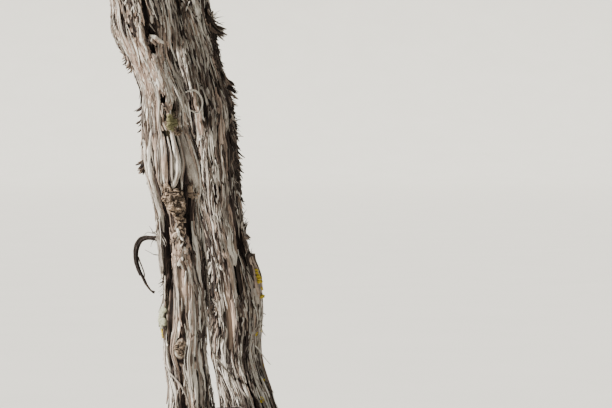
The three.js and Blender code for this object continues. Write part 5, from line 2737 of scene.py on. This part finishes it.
def dressed_arm(arm: Arm, seed: int) -> DressedLimb:
    """An arm: knuckled old wood with short loose strips and the stumps of pruned spurs.

    Args:
        arm: the arm.
        seed: picks its random numbers.

    Returns:
        The dressed arm.
    """
    bark = Bark(
        seed=seed, girth=20, broad=13, laths=28, fibres=58, rise=0.9, sway=1.3,
        patches=(Patch(Zone.DARK, 120, seed, 30, 0.2), Patch(Zone.PALE, 160, seed + 2, 40, 0.6)),
        eddies=(Eddy(arm.length * 0.46, seed, 22, 0.6, 0.8),),
        eyes=(Eye(arm.length * 0.46, seed, 7, 3, 4),),
    )
    tuft = replace(SPLAYED, count=10, curl=(4, 10))
    return DressedLimb(
        "arm_" + arm.name, arm, bark, ARM_SIDES, ARM_RINGS,
        (replace(PLATES, count=50, length=(35, 80)), replace(RIBBONS, count=300, length=(18, 55))),
        (replace(FIBRES, count=250),),
        clusters=(Cluster(arm.length * 0.6, seed + 1, 20, 0.6, tuft),),
        knobs=crust(arm.length * 0.7, math.pi - 0.4, 22, 7, 5, seed % 3),
        stubs=(
            Stub(arm.length * 0.47, LEFT + 0.3 * math.sin(seed), 13, 7),
            Stub(arm.length * 0.72, LEFT + 0.9 * math.cos(seed), 10, 6),
            Stub(arm.length * 0.88, LEFT - 0.7 * math.cos(seed), 12, 6.5),
        ),
        fade=(6, 3),
    )


# Turn and bend, width and rise of each fold, and then turn and count of each set of strips.
SADDLE_FOLDS = (
    (0.5, 0.5, 9, 4), (1.5, -0.7, 12, 6), (2.2, 0.6, 10, 5), (3.3, -0.7, 13, 7), (3.7, 0.6, 10, 5),
    (4.9, -0.5, 13, 6), (5.6, 0.4, 9, 4),
)
SADDLE_STRIPS = ((1.1, 60), (3.1, 70), (5.2, 60))
SADDLE_LINE = ((168, 0), (134, 0.6), (107, 1), (78, 0.4), (46, -0.2))
SADDLE_TONES = (Tone.BROWN, Tone.GREY, Tone.ROSY, Tone.GREY)


@dataclass(frozen=True)
class Grapevine:
    """The whole vine: two stems on a shared saddle, six arms and the canes on them."""

    stems: tuple[DressedLimb, ...]
    arms: tuple[DressedLimb, ...]
    crown: Crown = field(default_factory=Crown)

    def build(self, finishes: Finishes) -> None:
        """Makes every piece.

        Args:
            finishes: every material.
        """
        cork, lichen = Piece("cork_knobs"), Piece("lichen_tufts")
        stumps, cuts = Piece("pruned_stumps"), Piece("cut_faces")
        for dressed in self.stems + self.arms:
            dressed.build(finishes)
            dressed.add_growths(cork, lichen, stumps, cuts)
        self._build_saddle(finishes)
        self._build_canes(finishes, cuts, cork)
        cork.build([finishes.cork], Slot.OLD_BARK)
        lichen.build(finishes.lichens, Slot.LICHEN)
        stumps.build([finishes.bark], Slot.OLD_BARK)
        cuts.build([finishes.cut], Slot.CUT_WOOD)

    def _build_saddle(self, finishes: Finishes) -> None:
        """The saddle of old wood: wrinkles, folds and loose strips that run from foot to foot.

        Args:
            finishes: every material.
        """
        mound = Mound()
        bark = Bark(seed=91, girth=20, broad=15, laths=34, fibres=76, rise=1.3, sway=1.6)
        skin = Piece("root_saddle_bark")
        add_bark(skin, mound, bark, sides=160, rings=70)
        skin.build([finishes.bark], Slot.OLD_BARK, ["root_saddle"])
        loose = Piece("root_saddle_strips")
        for k, (turn, bend, width, rise) in enumerate(SADDLE_FOLDS):
            places = [(along, turn + share * bend) for along, share in SADDLE_LINE]
            Fold(places, width, rise, 0, SADDLE_TONES).add(loose, mound, SADDLE_FOLD_SEEDS + k)
        for k, (turn, count) in enumerate(SADDLE_STRIPS):
            kind = replace(RIBBONS, count=count, length=(20, 46), curl=(0.5, 2))
            cluster = Cluster(118, turn, 34, 1.6, kind)
            add_strips(loose, mound, bark, kind, SADDLE_STRIP_SEEDS + k, cluster)
        loose.build(finishes.level_strips, Slot.OLD_BARK, rounded=False)

    def _build_canes(self, finishes: Finishes, cuts: Piece, cork: Piece) -> None:
        """Each arm's canes as a piece, and the buds, tendrils and old wood of all of them.

        Args:
            finishes: every material.
            cuts: gets the cut faces.
            cork: gets the knuckles.
        """
        limbs = [dressed.limb for dressed in self.stems + self.arms]
        buds, tendrils = Piece("cane_buds"), Piece("tendrils")
        old_bark, old_strips = Piece("old_wood_bark"), Piece("old_wood_strips")
        for k, arm in enumerate(ARMS):
            mass = CaneMass(arm, k + 1, limbs, self.crown)
            canes = Piece(f"canes_{arm.name}_twigs")
            mass.add(canes, buds, tendrils, cuts, CANE_SEEDS + k)
            canes.build(finishes.canes, Slot.CANE_BARK, [f"canes_{arm.name}"])
            bark = Bark(
                OLD_WOOD_BARK_SEEDS + k, girth=11, broad=9, laths=18, fibres=36, rise=0.55, sway=1.4
            )
            add_bark(old_bark, mass.old_wood, bark, sides=56, rings=60, fade=(4, 2))
            for j, (at, turn, wide, tall) in enumerate(KNUCKLES):
                knuckle = Burl(at * mass.old_wood.length, turn + k, wide, tall, 5, 3.4, 2.2, 1.5)
                knuckle.add(cork, mass.old_wood, KNUCKLE_SEEDS + 10 * k + j)
            kind = replace(RIBBONS, count=80, length=(14, 40), width=(1.2, 2.6), curl=(1, 4))
            add_strips(old_strips, mass.old_wood, bark, kind, OLD_WOOD_SEEDS + k)
        buds.build([finishes.bud], Slot.CANE_BARK)
        tendrils.build([finishes.tendril], Slot.CANE_BARK)
        old_bark.build([finishes.bark], Slot.OLD_BARK)
        old_strips.build(finishes.strips, Slot.OLD_BARK, rounded=False)


def main() -> None:
    """Builds the vine, the studio and the camera."""
    logging.basicConfig(level=logging.INFO, format="%(message)s")
    Camera().build()
    Studio().build()
    arms = tuple(dressed_arm(arm, ARM_SEEDS + k) for k, arm in enumerate(ARMS))
    Grapevine((main_stem(), second_stem()), arms).build(Finishes())


if __name__ == "__main__":
    main()
